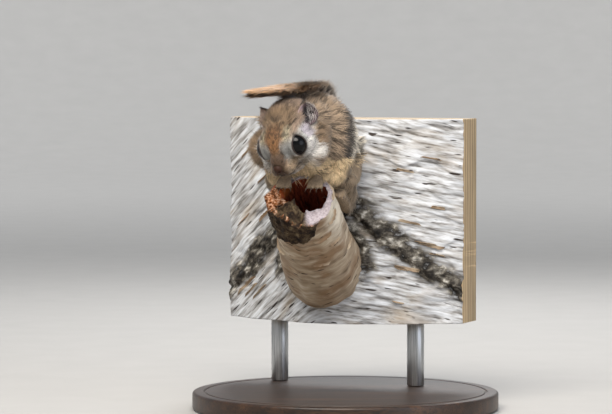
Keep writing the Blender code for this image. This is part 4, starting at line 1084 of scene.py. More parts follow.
def markings(points, parts):
    """The coat's colour at places on the animal: its markings, with painted shade and light on the tail and chest.
    """
    x, y, z = in_head(points).T
    y = np.abs(y)
    eye_off = eye_distance(np.stack([x, y, z], 1))
    tone = np.tile(shade_of(BACK), (len(points), 1))
    behind = -0.324 * x + 0.83 * y - 0.454 * z
    lilac_spot = np.linalg.norm(np.stack([x + 0.0002, y - 0.0111, z - 0.0031], 1), axis=1)
    tuft_spot = np.linalg.norm(np.stack([x - 0.0050, y - 0.0150, 0.8 * (z + 0.0030)], 1), axis=1)
    face = layered(
        tone,
        (CROWN, 1.0),
        (CHEEK, soft(y + 0.5 * (0.004 - z), 0.0065, 0.0095) * soft(z, 0.0090, 0.0060)),
        (FOREHEAD, soft(y, 0.0085, 0.0060) * soft(x, -0.0080, -0.0020) * soft(z, -0.0010, 0.0015)),
        (EYE_SIDE, 0.6 * soft(np.abs(y - 0.0062), 0.0032, 0.0004) * soft(x, 0.0020, 0.0060) * soft(z, 0.0, 0.0020)),
        (RUST, soft(y, 0.0066, 0.0014) * soft(x, 0.0010, 0.0090) * soft(z, 0.0012, 0.0060)),
        (EYE_RING, soft(eye_off, 0.0090, 0.0070) * soft(z, 0.0085, 0.0050)),
        (LILAC, 0.9 * soft(lilac_spot, 0.0045, 0.0022)),
        (MUZZLE, soft(x, 0.0105, 0.0135) * soft(y, 0.0046, 0.0028) * soft(z, 0.0048, 0.0020)),
        (MUZZLE_SIDE, soft(x, 0.0070, 0.0110) * soft(y, 0.0020, 0.0052) * soft(z, 0.0006, -0.0026)),
        (NECK, soft(behind, 0.0108, 0.0128)),
        (CHEEK_TUFT, soft(tuft_spot, 0.0052, 0.0036)),
        (BELLY, soft(z, -0.0072, -0.0095) * soft(y, 0.0050, 0.0085) * soft(behind, 0.0118, 0.0096)),
        (LIP, 0.9 * mouth_line(np.stack([x, y, z], 1), 0.0006)),
    )

    x, y, z = in_body(points).T
    above = z - np.interp(x, *np.array(FOLD_LINE).T)
    sideways = 0.966 * np.abs(y) - 0.259 * np.maximum(x, -0.002)
    chest = soft(x, 0.0240, 0.0280) * soft(np.abs(y), 0.0090, 0.0045)
    trunk_tone = layered(
        tone,
        (CROWN, soft(x, 0.0170, 0.0240) * soft(z, 0.0160, 0.0210)),
        (FLANK, 0.92 * soft(sideways, 0.0098, 0.0122) * soft(above, 0.0200, 0.0160)),
        (FOLD_EDGE, soft(sideways, 0.0146, 0.0162) * soft(above, 0.0125, 0.0090)),
        (BELLY, soft(z, -0.0012, -0.0028)),
        # Partly painted shade: the chest under the chin is darkened.
        (CHEST_TAN_AND_SHADE, chest * soft(z, 0.0020, -0.0020)),
    )
    legs = layered(tone, (LEG, 1.0), (BELLY, soft(x, 0.0080, 0.0120) * soft(z, -0.0150, -0.0110)))

    tail_top = ((points[:, None] - tail_line[None, ::6]) ** 2).sum(2).argmin(1) * 6
    over = ((points - tail_line[tail_top]) * tail_up[tail_top]).sum(1)
    free_end = soft(tail_top, 0.42 * TAIL_STEPS, 0.72 * TAIL_STEPS)
    under = soft(over, 0.0002, -0.0008)
    # A little pale fur over the tail, and painted light on its shaded underside near the root.
    tail_tone = layered(tone, (TAIL_PALE_AND_UNDERLIGHT, 0.15 + 0.70 * under), (TAIL_TOP, free_end))
    # Painted shadow: the underside of the tail's free end is darkened.
    tail_tone = layered(tail_tone, (TAIL_UNDER_SHADE, under * free_end))
    paws, folds = layered(tone, (FOOT, 1.0)), layered(tone, (FOLD_EDGE, 1.0))
    return np.choose(parts[:, None], (face, trunk_tone, legs, paws, folds, tail_tone))


def paint(data, values):
    """Stores a colour at each point of a mesh, for its material."""
    layer = data.color_attributes.new("coat", "FLOAT_COLOR", "POINT")
    layer.data.foreach_set("color", np.hstack([values, np.ones((len(values), 1))]).astype(np.float32).ravel())


def unwrap_all(obj, margin):
    """Unwraps a piece into patches with a margin between them."""
    bpy.ops.object.select_all(action="DESELECT")
    bpy.context.view_layer.objects.active = obj
    obj.select_set(True)
    bpy.ops.object.mode_set(mode="EDIT")
    bpy.ops.mesh.select_all(action="SELECT")
    bpy.ops.uv.smart_project(angle_limit=math.radians(66.0), island_margin=margin)
    bpy.ops.object.mode_set(mode="OBJECT")
    obj.select_set(False)


def painted(tree, grain, stops):
    """The colour painted on a piece's points, darkened by a fine grain, for its material."""
    marks = add(tree, "VertexColor", layer_name="coat")
    return add(tree, "Mix", 1.0, marks, add(tree, "ValToRGB", grain, stops=stops), blend_type="MULTIPLY")


skin_tone = blended(skin_edges, markings(skin_points, skin_parts), 6)
paint(skin.data, skin_tone * 0.5)
unwrap_all(skin, 0.002)

# Hide with short underfur, as it grows: matt, and mottled every 0.6 mm, which is as coarse as it has to be
# to show.
hide, tree, shader = finish("short_underfur", Roughness=0.85, Specular_IOR_Level=0.2)
plush = add(tree, "TexNoise", add(tree, "TexCoord"), Scale=1800.0, Detail=3.0)
toned = painted(tree, plush, ((0.3, 0.6), (0.7, 1.0)))
feed(shader, Base_Color=toned, Normal=add(tree, "Bump", Strength=0.7, Distance=0.0003, Height=plush))
dress(skin, hide, "fur_grey_brown", *FLESH, "tail_root", "tail_middle", "tail_tip")


# Eyes.
# Large glossy globes, black-brown all over, each with the clear bulge of the cornea where it looks.
# They sit in the sockets of the skull, held by the lids.

# The eye: a wet cornea over a nearly black iris. It is darkest in the middle and warm brown at its edge.
wet_eye, tree, shader = finish("wet_eye", Roughness=0.15, IOR=1.34, Specular_IOR_Level=0.42)
flat = add(tree, "UVMap")
flat_parts = add(tree, "SeparateXYZ", flat)
iris = add(tree, "ValToRGB", flat_parts, stops=((0.45, "0D0705"), (0.7, "050304"), (0.9, "020203")))
feed(shader, Base_Color=iris)
CORNEA_RISE = 0.035
CORNEA_SPREAD = 0.62
for word, side in SIDES.items():
    bpy.ops.mesh.primitive_uv_sphere_add(segments=48, ring_count=32, radius=EYE_RADIUS)
    eye = named("eyeball_" + word)
    ball = read(eye.data, "vertices", "co", 3)
    off_axis = np.arccos(np.clip(ball[:, 2] / EYE_RADIUS, -1, 1))
    ball *= 1 + CORNEA_RISE * np.exp(-((off_axis / CORNEA_SPREAD) ** 2))[:, None]
    middle, rows = eye_place(side)
    move(eye, middle + ball[:, [2, 0, 1]] @ rows)
    if side < 0:
        eye.data.flip_normals()
    bpy.ops.object.shade_smooth()
    dress(eye, wet_eye, "eye_black", "eye_" + word)


# Eyelids.
# A thin dark rim of bare skin round each eye, slightly pointed above and below. It is the edge of the same
# hide, folded tight against the globe and moist where it meets it.

LID_RADIUS = 0.00036
lid_turn = np.linspace(0, 2 * math.pi, 73)
lid_pieces = []
for side in SIDES.values():
    middle, rows = eye_place(side)
    wide = LID_WIDE * np.cos(lid_turn) * np.abs(np.cos(lid_turn)) ** LID_POINT
    high = LID_HIGH * np.sin(lid_turn)
    tilt, way = np.hypot(wide, high), np.arctan2(high, wide)
    spots = np.stack([np.cos(tilt), np.sin(tilt) * np.cos(way), np.sin(tilt) * np.sin(way)], 1)
    line = middle + (EYE_RADIUS + 0.00016) * spots @ rows
    size = np.full(len(line), LID_RADIUS)
    lid_pieces.append(tube(line, line - middle, size, size, 10))
lids = piece("eyelids", *gathered(lid_pieces))

# Bare skin of the lids: nearly black with a moist shine, and folded every 0.4 mm.
lid_skin, tree, shader = finish("eyelid_skin", Roughness=0.38)
folds = add(tree, "TexNoise", add(tree, "TexCoord"), Scale=2600.0, Detail=3.0)
feed(shader, Base_Color=add(tree, "ValToRGB", folds, stops=((0.3, "17100D"), (0.7, "3A2A24"))))
dress(lids, lid_skin, "ear_skin")


# Nose.
# A small bare pad of skin at the tip of the muzzle, with two comma-shaped nostrils and a cleft between them.
# It is gristle under moist, pebbled skin, and the coat stops at its edge.

NOSE_CENTRE = np.array((0.0179, 0.0, -0.0020))
NOSE_RADII = np.array((0.0018, 0.0021, 0.0020))
PEBBLE_STOPS = ((0.0, 1.0), (0.8, 0.65))
bpy.ops.mesh.primitive_uv_sphere_add(segments=64, ring_count=40, radius=1.0)
nose = named("nose_pad")
pad = read(nose.data, "vertices", "co", 3)
cleft = np.exp(-((pad[:, 1] / 0.13) ** 2)) * soft(pad[:, 0], 0.0, 0.6) * soft(pad[:, 2], 0.7, 0.0)
aside = np.abs(pad[:, 1]) - 0.46
hole = np.hypot(aside / 0.20, (pad[:, 2] + 0.18 - 0.35 * aside) / 0.15)
dip = np.exp(-(hole**2)) * soft(pad[:, 0], 0.2, 0.6)
pebbles = np.array([waver(*(p * 9.0)) for p in pad])
pad = pad * (1 - 0.10 * cleft - 0.42 * dip + 0.025 * pebbles)[:, None]
move(nose, from_head(NOSE_CENTRE + pad * NOSE_RADII))
bpy.ops.object.shade_smooth()
# Painted shade: the nostrils' pits are darkened, standing for the dark inside of the holes.
paint(nose.data, np.clip(1 - 0.85 * dip, 0, 1)[:, None] * shade_of("3A2216"))

# Bare skin of the nose: dark brown, with a soft moist gloss, and pebbles of 0.24 mm like fine leather.
nose_skin, tree, shader = finish("moist_nose_skin", Roughness=0.5, Specular_IOR_Level=0.2)
grains = add(tree, "TexVoronoi", add(tree, "TexCoord"), Scale=4200.0)
toned = painted(tree, grains, PEBBLE_STOPS)
pebble_tone = add(tree, "ValToRGB", grains, stops=PEBBLE_STOPS)
feed(shader, Base_Color=toned, Normal=add(tree, "Bump", Strength=0.4, Distance=0.0001, Height=pebble_tone))
dress(nose, nose_skin, "ear_skin")


# Ears.
# Thin cupped leaves of skin with a rounded tip, pink at one edge, open to front and side. The cup is painted dark
# inside as shade.
# They stand above and behind the eyes, and their backs are sunk in the coat.

EAR_DEPTH = 0.0030
EAR_WALL = 0.0007
EAR_SIDES = 64
EAR_RINGS = 16
EAR_FOLD = 0.0016

# Thin skin of the ears: grey-brown outside, with painted shade in the cup, a little light through it, and veined
# every 2 mm.
ear_skin, tree, shader = finish("thin_ear_skin", Roughness=0.6, Subsurface_Weight=0.2, Subsurface_Scale=0.0008)
veins = add(tree, "TexNoise", add(tree, "TexCoord"), Scale=520.0, Detail=3.0)
toned = painted(tree, veins, ((0.32, 0.62), (0.66, 1.0)))
feed(shader, Base_Color=toned, Normal=add(tree, "Bump", Strength=0.3, Distance=0.0002, Height=veins))
ears = []
for word, side in SIDES.items():
    middle, rows = ear_place(side)
    turn = np.linspace(0, 2 * math.pi, EAR_SIDES, endpoint=False)
    rim_up = EAR_TALL * np.cos(turn)
    rim_across = EAR_WIDE * np.sin(turn) * (1 - 0.16 * np.cos(turn))
    low = soft(np.cos(turn), -0.25, -0.95)
    rings, shades = [], []
    for k in range(EAR_RINGS):
        out = (k + 1) / EAR_RINGS
        hollow = EAR_DEPTH * (1 - out**2.4) * (1 - 0.4 * low) + EAR_FOLD * low * out**2
        rings.append(np.stack([-hollow, rim_across * out, rim_up * out], 1))
        inner_edge = soft(-side * np.sin(turn), 0.15, 0.75) * soft(out, 0.35, 0.75)
        # Painted shade: the cup is darkest deep inside and lighter towards its rim.
        cup_shade = np.tile(shade_of("231A1D"), (EAR_SIDES, 1))
        shades.append(layered(cup_shade, ("5A4549", soft(out, 0.55, 0.95)), ("D9BEBE", 0.9 * inner_edge)))
    for out, back in ((1.035, 0.5), (1.0, 1.0)):
        rings.append(np.stack([-EAR_WALL * back - EAR_FOLD * low, rim_across * out, rim_up * out], 1))
        shades.append(np.tile(shade_of("A8968C"), (EAR_SIDES, 1)))
    for k in range(EAR_RINGS - 1, 0, -1):
        out = k / EAR_RINGS
        behind_rim = EAR_WALL + EAR_FOLD * low + (EAR_DEPTH + 0.0024) * (1 - out**3.5)
        rings.append(np.stack([-behind_rim, rim_across * out, rim_up * out], 1))
        shades.append(np.tile(shade_of("8C7A6E"), (EAR_SIDES, 1)))
    poles = [np.mean(rings[0], 0) - (0.0002, 0, 0), np.mean(rings[-1], 0) - (0.0002, 0, 0)]
    spots = middle + np.vstack([*rings, *poles]) @ rows
    ear = piece("ear_shell_" + word, spots, ring_triangles(len(rings), EAR_SIDES))
    paint(ear.data, np.vstack([*shades, shades[0][:1], shades[-1][:1]]))
    unwrap_all(ear, 0.01)
    dress(ear, ear_skin, "ear_skin", "ear_" + word)
    ears.append(ear)


# Coat.
# Dense, silky fur that lies along the body in fine overlapping tufts, dark at the root and pale at the tip.
# It is shortest on the nose and feet, longest on the flanks and the flat tail.


def surface_of(obj):
    """A piece's points, normals, triangles and unwrap, for growing tufts on."""
    data = obj.data
    data.calc_loop_triangles()
    triangles = read(data, "loop_triangles", "vertices", 3, np.int32)
    loops = read(data, "loop_triangles", "loops", 3, np.int32)
    unwrap = read(data.uv_layers.active, "data", "uv", 2)
    points = read(data, "vertices", "co", 3)
    a, b, c = (points[triangles[:, k]] for k in range(3))
    area = np.linalg.norm(np.cross(b - a, c - a), axis=1) / 2
    normals = unit(read(data, "vertex_normals", "vector", 3))
    return {"points": points, "normals": normals, "triangles": triangles, "unwrap": unwrap[loops], "area": area}


def seeded(surface, weight, count):
    """Places for tufts, spread evenly over a surface by area and weight: point, normal, unwrap and triangle."""
    total = np.cumsum(surface["area"] * weight)
    ticks = (np.arange(count) + rng.random(count)) / count * total[-1]
    at = np.minimum(np.searchsorted(total, ticks), len(total) - 1)
    one, two = rng.random(count), rng.random(count)
    flip = one + two > 1
    one, two = np.where(flip, 1 - one, one), np.where(flip, 1 - two, two)
    shares = np.stack([1 - one - two, one, two], 1)
    corners = surface["triangles"][at]
    points = (surface["points"][corners] * shares[:, :, None]).sum(1)
    normals = unit((surface["normals"][corners] * shares[:, :, None]).sum(1))
    unwrap = (surface["unwrap"][at] * shares[:, :, None]).sum(1)
    return points, normals, unwrap, corners[:, 0]


def nearest_guides(points, count):
    """Picks guides among the tufts, and gives each tuft its nearest one."""
    picks = rng.choice(len(points), count, replace=False)
    tree = KDTree(count)
    for k, pick in enumerate(picks):
        tree.insert(points[pick], k)
    tree.balance()
    return picks[[tree.find(point)[1] for point in points]]


# How many tufts grow on each part, and how many triangles a piece may hold.
TUFTS = {"head": 36000, "body": 34000, "legs": 15000, "paws": 6000, "tail": 17000, "ear": 3600}
TUFT_LIMIT = 190000


def tufts(name, spots, lie, length, width, rise, tone, clumps, darker, pull=0.5, bend=0.25, rings=(0.0, 0.45)):
    """Tapered tufts as joined solid meshes, each piece under the limit. Rise is in radians off the skin.

    Their tips draw together in clumps. Each clump has its own tone, and some are dark.
    """
    points, normals, unwrap = spots
    count = len(points)
    guides = nearest_guides(points, max(1, count // clumps))
    clump_tone = 0.80 + 0.40 * rng.random(count)
    clump_tone = np.where(rng.random(count) < darker, clump_tone * 0.42, clump_tone)
    tone = tone * clump_tone[guides][:, None]
    drawn = (points[guides] - points) * pull
    lie = unit(lie + (rng.random((count, 3)) - 0.5) * 0.25)
    lie = 0.6 * lie + 0.4 * lie[guides]
    lie = square_to(normals, lie)
    side = np.cross(normals, lie)
    swing = (rng.random((count, 1)) * 2 - 1) * bend
    columns = np.array([[1.0, 0.0], [-1.0, 0.0], [0.0, 0.8]])
    places, shades, patches = [], [], []
    steps = [*rings, 1.0]
    for t in steps:
        centre = points - normals * 0.00015 + length[:, None] * (
            lie * (t * np.cos(rise))[:, None]
            + normals * (np.sin(rise) * (t - 0.42 * t * t))[:, None]
            + side * swing * t * t
        ) + drawn * t * t
        wide = width[:, None] * (0.75 + 0.5 * t if t < 0.5 else 1.0) * (1 - t) ** 0.6
        shade = tone * (0.46 + 0.66 * min(1.0, t * 1.35))
        for sideways, up in columns if t < 1 else ((0.0, 0.0),):
            places.append(centre + side * wide * sideways + normals * wide * up)
            shades.append(shade)
            patches.append(unwrap + np.array(((sideways + 1) / 2, t)) * 0.003)
    per = len(places)
    triangles = [(0, 1, 2)]
    for r in range(len(rings) - 1):
        for k in range(3):
            a, b = r * 3 + k, r * 3 + (k + 1) % 3
            triangles += [(a, a + 3, b + 3), (a, b + 3, b)]
    last = (len(rings) - 1) * 3
    triangles += [(last + k, per - 1, last + (k + 1) % 3) for k in range(3)]
    triangles = np.array(triangles)
    places, shades, patches = (np.stack(rows, 1) for rows in (places, shades, patches))
    share = max(1, math.ceil(count * len(triangles) / TUFT_LIMIT))
    made = []
    for n in range(share):
        part = slice(n, None, share)
        some = places[part]
        starts = np.arange(len(some))[:, None, None] * per
        ends = (triangles[None] + starts).reshape(-1, 3)
        suffix = "_%d" % (n + 1) if share > 1 else ""
        obj = piece(name + suffix, some.reshape(-1, 3), ends)
        paint(obj.data, shades[part].reshape(-1, 3))
        layer = obj.data.uv_layers.new(name="OFBake")
        layer.data.foreach_set("uv", patches[part].reshape(-1, 2)[ends.ravel()].astype(np.float32).ravel())
        own = read(obj.data, "vertex_normals", "vector", 3)
        under = np.repeat(normals[part], per, 0)
        obj.data.normals_split_custom_set_from_vertices(unit(own * 0.55 + under))
        made.append(obj)
    return made


# Squirrel fur: silky, with a soft sheen off the hairs' sides. A real hair is 0.02 mm thick. Here each tuft
# stands for many, and is 0.1 to 0.4 mm across its root, so that it shows.
fur, tree, shader = finish(
    "silky_fur", Roughness=0.58, Specular_IOR_Level=0.25, Sheen_Weight=0.15, Sheen_Roughness=0.5
)
hairs = add(tree, "TexNoise", add(tree, "TexCoord"), Scale=2400.0, Detail=2.0)
feed(shader, Base_Color=painted(tree, hairs, ((0.3, 0.72), (0.65, 1.0))))

skin_surface = surface_of(skin)
triangle_parts = skin_parts[skin_surface["triangles"][:, 0]]
forward, left, up = body_rows
down = np.array((0.0, 0.0, -1.0))
GUARD_HAIR = "3B2E25"


def varied(tone, spread, dark_share=0.0):
    """Tuft colours that differ a little from each other, some of them dark guard hairs."""
    count = len(tone)
    values = tone * (1 + spread * (rng.random((count, 1)) * 2 - 1))
    darks = rng.random(count) < dark_share
    values[darks] = values[darks] * 0.35 + shade_of(GUARD_HAIR) * 0.65
    return values


def grown(name, spots, lie, length, width, rise, varies, shown=0.0, **settings):
    """Tufts of varied length, width, rise and tone on the skin. Shown is how far along a tuft its tone is read."""
    *places, corner = spots
    count = len(corner)
    length = length * (0.75 + 0.5 * rng.random(count))
    width = width[0] + (width[1] * rng.random(count) if width[1] else np.zeros(count))
    tone = markings(places[0] + unit(lie) * (shown * length)[:, None], skin_parts[corner])
    tone = varied(tone, *varies)
    rise = np.radians(rise[0] + rise[1] * rng.random(count))
    return tufts(name, places, lie, length, width, rise, tone, **settings)


# The head's coat, shortest on the muzzle. Dark guard hairs streak the forehead.
centres = skin_surface["points"][skin_surface["triangles"]].mean(1)
head_centres = in_head(centres)
muzzle = soft(head_centres[:, 0], 0.0060, 0.0120)
open_skin = soft(lid_opening(centres), 1.02, 1.10)
for side in SIDES.values():
    open_skin = open_skin * soft(in_ear(centres, side)[0], 0.95, 1.15)
bare_nose = soft(np.linalg.norm((head_centres - NOSE_CENTRE) / NOSE_RADII, axis=1), 1.02, 1.15)
bare_lips = 1 - 0.9 * mouth_line(head_centres, 0.0004)
density = (1 + 0.8 * muzzle) * open_skin * bare_nose * bare_lips
spots = seeded(skin_surface, (triangle_parts == HEAD) * density, TUFTS["head"])
local = in_head(spots[0])
side = np.sign(local[:, 1])
snout = soft(local[:, 0], 0.0060, 0.0150)
eye_near = soft(eye_distance(local), 0.0100, 0.0060)
cheek = soft(np.abs(local[:, 1]), 0.0050, 0.0100) * soft(local[:, 2], 0.0030, -0.0020)
away = unit(local - EYE_CENTRE * np.stack([np.ones(len(side)), side, np.ones(len(side))], 1))
lie = -head_rows[0] + cheek[:, None] * (-0.7 * head_rows[2]) + side[:, None] * head_rows[1] * 0.25
lie = lie + (away @ head_rows) * (0.9 * eye_near)[:, None]
crown = soft(local[:, 2], 0.0040, 0.0090) * soft(local[:, 0], 0.0100, 0.0040)
length = 0.0034 - 0.0022 * snout - 0.0016 * eye_near + 0.0020 * cheek + 0.0014 * crown
forehead = soft(np.abs(local[:, 1]), 0.0085, 0.0050) * soft(local[:, 2], 0.0, 0.0030)
forehead *= soft(local[:, 0], 0.0140, 0.0080)
head_coat = grown(
    "coat_head", spots, lie, length, (0.00012, 0.00003), (16 + 12 * crown, 8), (0.12, 0.04), shown=0.5,
    clumps=15, pull=0.6, darker=0.08 + 0.34 * forehead,
)

# The body's coat, long and silky.
spots = seeded(skin_surface, triangle_parts == BODY, TUFTS["body"])
flank = soft(np.abs(in_body(spots[0])[:, 1]), 0.0050, 0.0200)
body_coat = grown(
    "coat_body", spots, -forward + flank[:, None] * down * 0.55, 0.0074, (0.00019, 0.00005), (13, 8), (0.14, 0.10),
    shown=0.6, rings=(0.0, 0.35, 0.7), clumps=10, pull=0.65, darker=0.22,
)

# The legs' and skin folds' coat. The folds' edges are pale.
spots = seeded(skin_surface, (triangle_parts == LIMB) | (triangle_parts == FOLD), TUFTS["legs"])
side = np.sign(in_body(spots[0])[:, 1])[:, None]
on_fold = skin_parts[spots[3]] == FOLD
lie = np.where(on_fold[:, None], -forward * 0.6 + side * left * 0.6 + down * 0.3, down * 0.8 + forward * 0.35)
leg_coat = grown(
    "coat_legs", spots, lie, np.where(on_fold, 0.0044, 0.0036), (0.00016, 0.00004), (15, 8), (0.12, 0.03),
    clumps=8, pull=0.55, darker=0.10,
)

# The paws' coat, very short.
spots = seeded(skin_surface, triangle_parts == PAW, TUFTS["paws"])
lie = np.tile(forward + down * 0.5, (len(spots[0]), 1))
paw_coat = grown("coat_paws", spots, lie, 0.0009, (0.00009, 0.0), (12, 6), (0.12, 0.03), clumps=4, darker=0.0)

# The tail's coat, combed flat to both sides and past its tip.
points, normals, unwrap, corner = seeded(skin_surface, triangle_parts == TAIL, TUFTS["tail"])
step = ((points[:, None] - tail_line[None]) ** 2).sum(2).argmin(1)
offset = ((points - tail_line[step]) * tail_across[step]).sum(1)
over = np.sign(((points - tail_line[step]) * tail_up[step]).sum(1))[:, None]
share = np.clip(offset / np.maximum(tail_wide[step] * TAIL_CORE, 1e-5), -1, 1)
sweep = np.radians(36) * share * (0.7 + 0.5 * rng.random(len(points)))
lie = tail_along[step] * np.cos(sweep)[:, None] + tail_across[step] * np.sin(sweep)[:, None]
ahead = np.minimum(step + 8, TAIL_STEPS)
room = np.maximum(tail_wide[ahead] - np.abs(offset), 0.0020)
length = np.clip(room / np.maximum(np.sin(np.abs(sweep)), 0.34), 0.0050, 0.0150)
length *= 0.75 + 0.4 * rng.random(len(points))
width = 0.00020 + 0.00006 * rng.random(len(points))
tone = varied(markings(points, skin_parts[corner]), 0.16, 0.10)
rise = np.where(over[:, 0] < 0, 2 + 9 * rng.random(len(points)), 2 - 7 * rng.random(len(points)))
tail_coat = tufts(
    "coat_tail", (points, unit(tail_up[step] * over + 0.15 * normals), unwrap), lie, length, width,
    np.radians(rise), tone, bend=0.10, rings=(0.0, 0.35, 0.7), clumps=12, pull=0.45, darker=0.08,
)

# The ears' down: short outside, and thin white hairs in the cup.
ear_coat = []
for (word, side), ear in zip(SIDES.items(), ears):
    flip = np.array((1, side, 1))
    surface = surface_of(ear)
    points, normals, unwrap, _ = seeded(surface, 1.0, TUFTS["ear"])
    inside = (normals @ (EAR_OPENING[side] * flip @ head_rows)) > 0.1
    middle, rows = ear_place(side)
    hind = side * ((points - middle) @ rows[1]) / EAR_WIDE
    sparse = inside & ((rng.random(len(points)) < 0.80) | (hind < 0.15))
    points, normals, unwrap, inside = (values[~sparse] for values in (points, normals, unwrap, inside))
    lie = np.tile((EAR_AXIS + 0.3 * EAR_OPENING[side]) * flip @ head_rows, (len(points), 1))
    length = np.where(inside, 0.0030, 0.0018) * (0.7 + 0.6 * rng.random(len(points)))
    rise = np.radians(16 + 12 * rng.random(len(points)))
    tone = varied(np.where(inside[:, None], shade_of("E6DEDA"), shade_of("8A7568")), 0.15)
    ear_coat += tufts(
        "coat_ear_" + word, (points, normals, unwrap), lie, length, np.where(inside, 0.00006, 0.00010), rise, tone,
        clumps=3, pull=0.4, darker=0.0,
    )

for coat, slot_name in (
    (head_coat + body_coat + paw_coat + ear_coat, "fur_grey_brown"),
    (leg_coat, "fur_cream"),
    (tail_coat, "fur_tail_buff"),
):
    for obj in coat:
        dress(obj, fur, slot_name)


# Claws.
# A short curved claw of dark horn on each finger and toe, for clinging to bark.
# Each is sunk in the skin of its digit at the root.

# The middle of a hand and a foot from the body's middle, how they are turned, and for their digits: how many,
# where they start, the way they point, their length and what it loses at the sides, thickness and curl.
HAND = (
    (0.0180, 0.0072, -0.0108), 0.0, 4, (0.0020, 0.0018, -0.0002), (0.9, 0.34, -0.25), (0.0046, -0.0006, 1),
    0.00085, 0.0030,
)
HIND_FOOT = (
    (-0.0020, 0.0132, -0.0220), math.radians(-30.0), 5, (0.0085, 0.0026, 0.0), (0.9, 0.30, -0.30),
    (0.0065, -0.0012, 2), 0.0010, 0.0034,
)
CLAW_STEPS = 12
CLAW_LENGTH = 0.0021
CLAW_HOOK = 0.0014
claw_pieces = []
for side in SIDES.values():
    for centre, turn, digits, start, way, (reach, shorter, power), radius, curl in (HAND, HIND_FOOT):
        turn_rows = np.array(Matrix.Rotation(turn, 3, "Y"))
        for spread in np.linspace(-1, 1, digits):
            toe = unit(way * np.array((1, spread, 1)))
            tip = start * np.array((1, spread, 1))
            tip = tip + toe * (reach + shorter * abs(spread) ** power + 0.3 * radius) - (0, 0, curl)
            share = np.linspace(-0.3, 1.0, CLAW_STEPS)[:, None]
            line = tip + toe * CLAW_LENGTH * share - np.array((0, 0, CLAW_HOOK)) * share * np.abs(share)
            placed = BODY_CENTRE + ((centre + line @ turn_rows.T) * (1, side, 1)) @ body_rows
            size = radius * np.interp(share[:, 0], (-0.3, 0.0, 1.0), (0.42, 0.50, 0.10))
            claw_pieces.append(tube(placed, np.tile(left, (CLAW_STEPS, 1)), size * 0.8, size, 10))
claws = piece("claws", *gathered(claw_pieces))

# Horn of a claw: smooth, hard and half glossy, grey-brown, in dark and pale layers 0.7 mm apart.
horn, tree, shader = finish("claw_horn", Roughness=0.34)
layers = add(tree, "TexNoise", add(tree, "TexCoord"), Scale=1500.0, Detail=3.0)
horn_tone = add(tree, "ValToRGB", layers, stops=((0.3, "2B211B"), (0.7, "6A5646")))
feed(shader, Base_Color=horn_tone, Normal=add(tree, "Bump", Strength=0.2, Distance=0.0001, Height=layers))
dress(claws, horn, "paw_skin")


# Whiskers.
# Long stiff hairs, dark and tapering. They are rooted in the pads at both sides of the muzzle, and two stand
# over each eye.

WHISKER_STEPS = 12
WHISKER_RADIUS = 0.00006
WHISKER_SAG = np.array((-0.55, 0.0, -0.22))
whisker_pieces = []
for side in SIDES.values():
    for k in range(12):
        row, column = divmod(k, 4)
        root = (0.0135 - 0.0016 * column, 0.0030 + 0.0006 * column, -0.0022 - 0.0012 * row)
        out = (0.10 - 0.16 * column, 0.95, 0.20 - 0.30 * row)
        wander = 0.16 * (rng.random(3) - 0.5)
        length = 0.016 + 0.009 * rng.random()
        if row == 2 and column > 1:
            root, out, length = (0.0085, 0.0052 + 0.0008 * (column - 2), 0.0082), (-0.2, 0.75, 0.7), 0.012
            wander = 0.16 * (rng.random(3) - 0.5)
        share = np.linspace(0.0, 1.0, WHISKER_STEPS)[:, None]
        line = root + unit(out + wander) * length * share + WHISKER_SAG * length * 0.45 * share**2
        size = WHISKER_RADIUS * (1 - 0.75 * share[:, 0])
        across = np.tile(head_rows[2], (WHISKER_STEPS, 1))
        whisker_pieces.append(tube(from_head(line * (1, side, 1)), across, size, size, 5))
whiskers = piece("whiskers", *gathered(whisker_pieces))

# Whisker hair: thick and glossy, dark brown, and paler every 3 mm. It is 0.12 mm thick at its root.
whisker_hair, tree, shader = finish("whisker_hair", Roughness=0.35)
bands = add(tree, "TexNoise", add(tree, "TexCoord"), Scale=350.0, Detail=2.0)
feed(shader, Base_Color=add(tree, "ValToRGB", bands, stops=((0.35, "1E1712"), (0.65, "4A3A2E"))))
dress(whiskers, whisker_hair, "fur_grey_brown")


# Floor, light and camera.
# A pale studio floor that sweeps up all round, soft daylight from above the front, and a long lens at the
# photograph's angle.

FLOOR_RADIUS = 2.4
SWEEP_RADIUS = 1.2
SWEEP_STEPS = 12
FLOOR_GAP = 0.0002
bpy.ops.mesh.primitive_circle_add(
    vertices=128, radius=FLOOR_RADIUS, fill_type="NGON", location=(0.0, 0.0, -FLOOR_GAP)
)
floor = named("floor")
pick_rim()
reach, height = FLOOR_RADIUS, 0.0
for k in range(1, SWEEP_STEPS + 1):
    turn = math.radians(80.0) * k / SWEEP_STEPS
    next_reach = FLOOR_RADIUS + SWEEP_RADIUS * math.sin(turn)
    next_height = SWEEP_RADIUS * (1 - math.cos(turn))
    bpy.ops.mesh.extrude_edges_move()
    bpy.ops.transform.resize(value=(next_reach / reach, next_reach / reach, 1.0))
    bpy.ops.transform.translate(value=(0.0, 0.0, next_height - height))
    reach, height = next_reach, next_height
turn_faces(inside=True)
bpy.ops.object.shade_smooth()

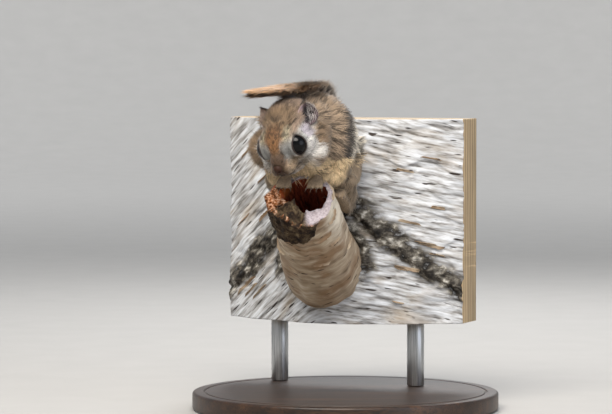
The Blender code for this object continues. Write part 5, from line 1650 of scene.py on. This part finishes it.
# Matt background paper: off-white, with a very faint mottle of 25 mm.
matt, tree, shader = finish("pale_paper_floor", Roughness=0.9)
place = add(tree, "TexCoord")
mottle = add(tree, "TexNoise", place, Scale=40.0, Detail=4.0)
feed(shader, Base_Color=add(tree, "ValToRGB", mottle, stops=((0.0, "ABA9A6"), (1.0, "B3B1AE"))))
floor.data.materials.append(matt)

bpy.context.scene.view_settings.view_transform = "Standard"
world = bpy.data.worlds.new("studio")
bpy.context.scene.world = world
world.use_nodes = True
sky = world.node_tree.nodes["Background"]
sky.inputs["Color"].default_value = (0.82, 0.88, 0.96, 1.0)
sky.inputs["Strength"].default_value = 0.50
LIT = Vector((-0.02, -0.03, 0.11))
# Each lamp's name, place, target, size, power and colour.
lamps = [
    ("key", (-0.20, -0.70, 0.90), LIT, (1.0, 0.6), 17.0, "FFF8EE"),
    ("fill", (0.80, -0.60, 0.30), LIT, (0.8, 0.8), 3.0, "EAF1FF"),
    ("rim", (0.10, 0.60, 0.60), LIT, (0.4, 0.4), 4.0, "FFFFFF"),
]
for k in range(6):
    way = Vector((math.cos(k * math.pi / 3), math.sin(k * math.pi / 3), 0.0))
    spot = way * 1.9 + Vector((0.0, 0.0, 1.7))
    lamps.append(("backdrop_%d" % k, spot, way * 3.6 + Vector((0.0, 0.0, 0.2)), (1.4, 0.6), 26.0, "FFFFFF"))
for name, place, target, size, power, tone in lamps:
    lamp = bpy.data.lights.new(name, "AREA")
    lamp.shape = "ELLIPSE"
    lamp.size, lamp.size_y = size
    lamp.energy = power
    lamp.color = colour(tone)[:3]
    light = added(name, lamp)
    light.location = place
    light.rotation_euler = (target - Vector(place)).to_track_quat("-Z", "Y").to_euler()

CAMERA_AIM = Vector((-0.018, -0.040, 0.0943))
CAMERA_DISTANCE = 1.5
CAMERA_RISE = math.radians(3.0)
PHOTO_WIDTH = 0.272
SENSOR_WIDTH = 36.0
view = bpy.data.cameras.new("camera")
view.sensor_width = SENSOR_WIDTH
view.lens = SENSOR_WIDTH * CAMERA_DISTANCE / PHOTO_WIDTH
view.clip_start = 0.05
camera = added("camera", view)
away = Vector((0.0, -math.cos(CAMERA_RISE), math.sin(CAMERA_RISE)))
camera.location = CAMERA_AIM + away * CAMERA_DISTANCE
camera.rotation_euler = (-away).to_track_quat("-Z", "Y").to_euler()
bpy.context.scene.camera = camera
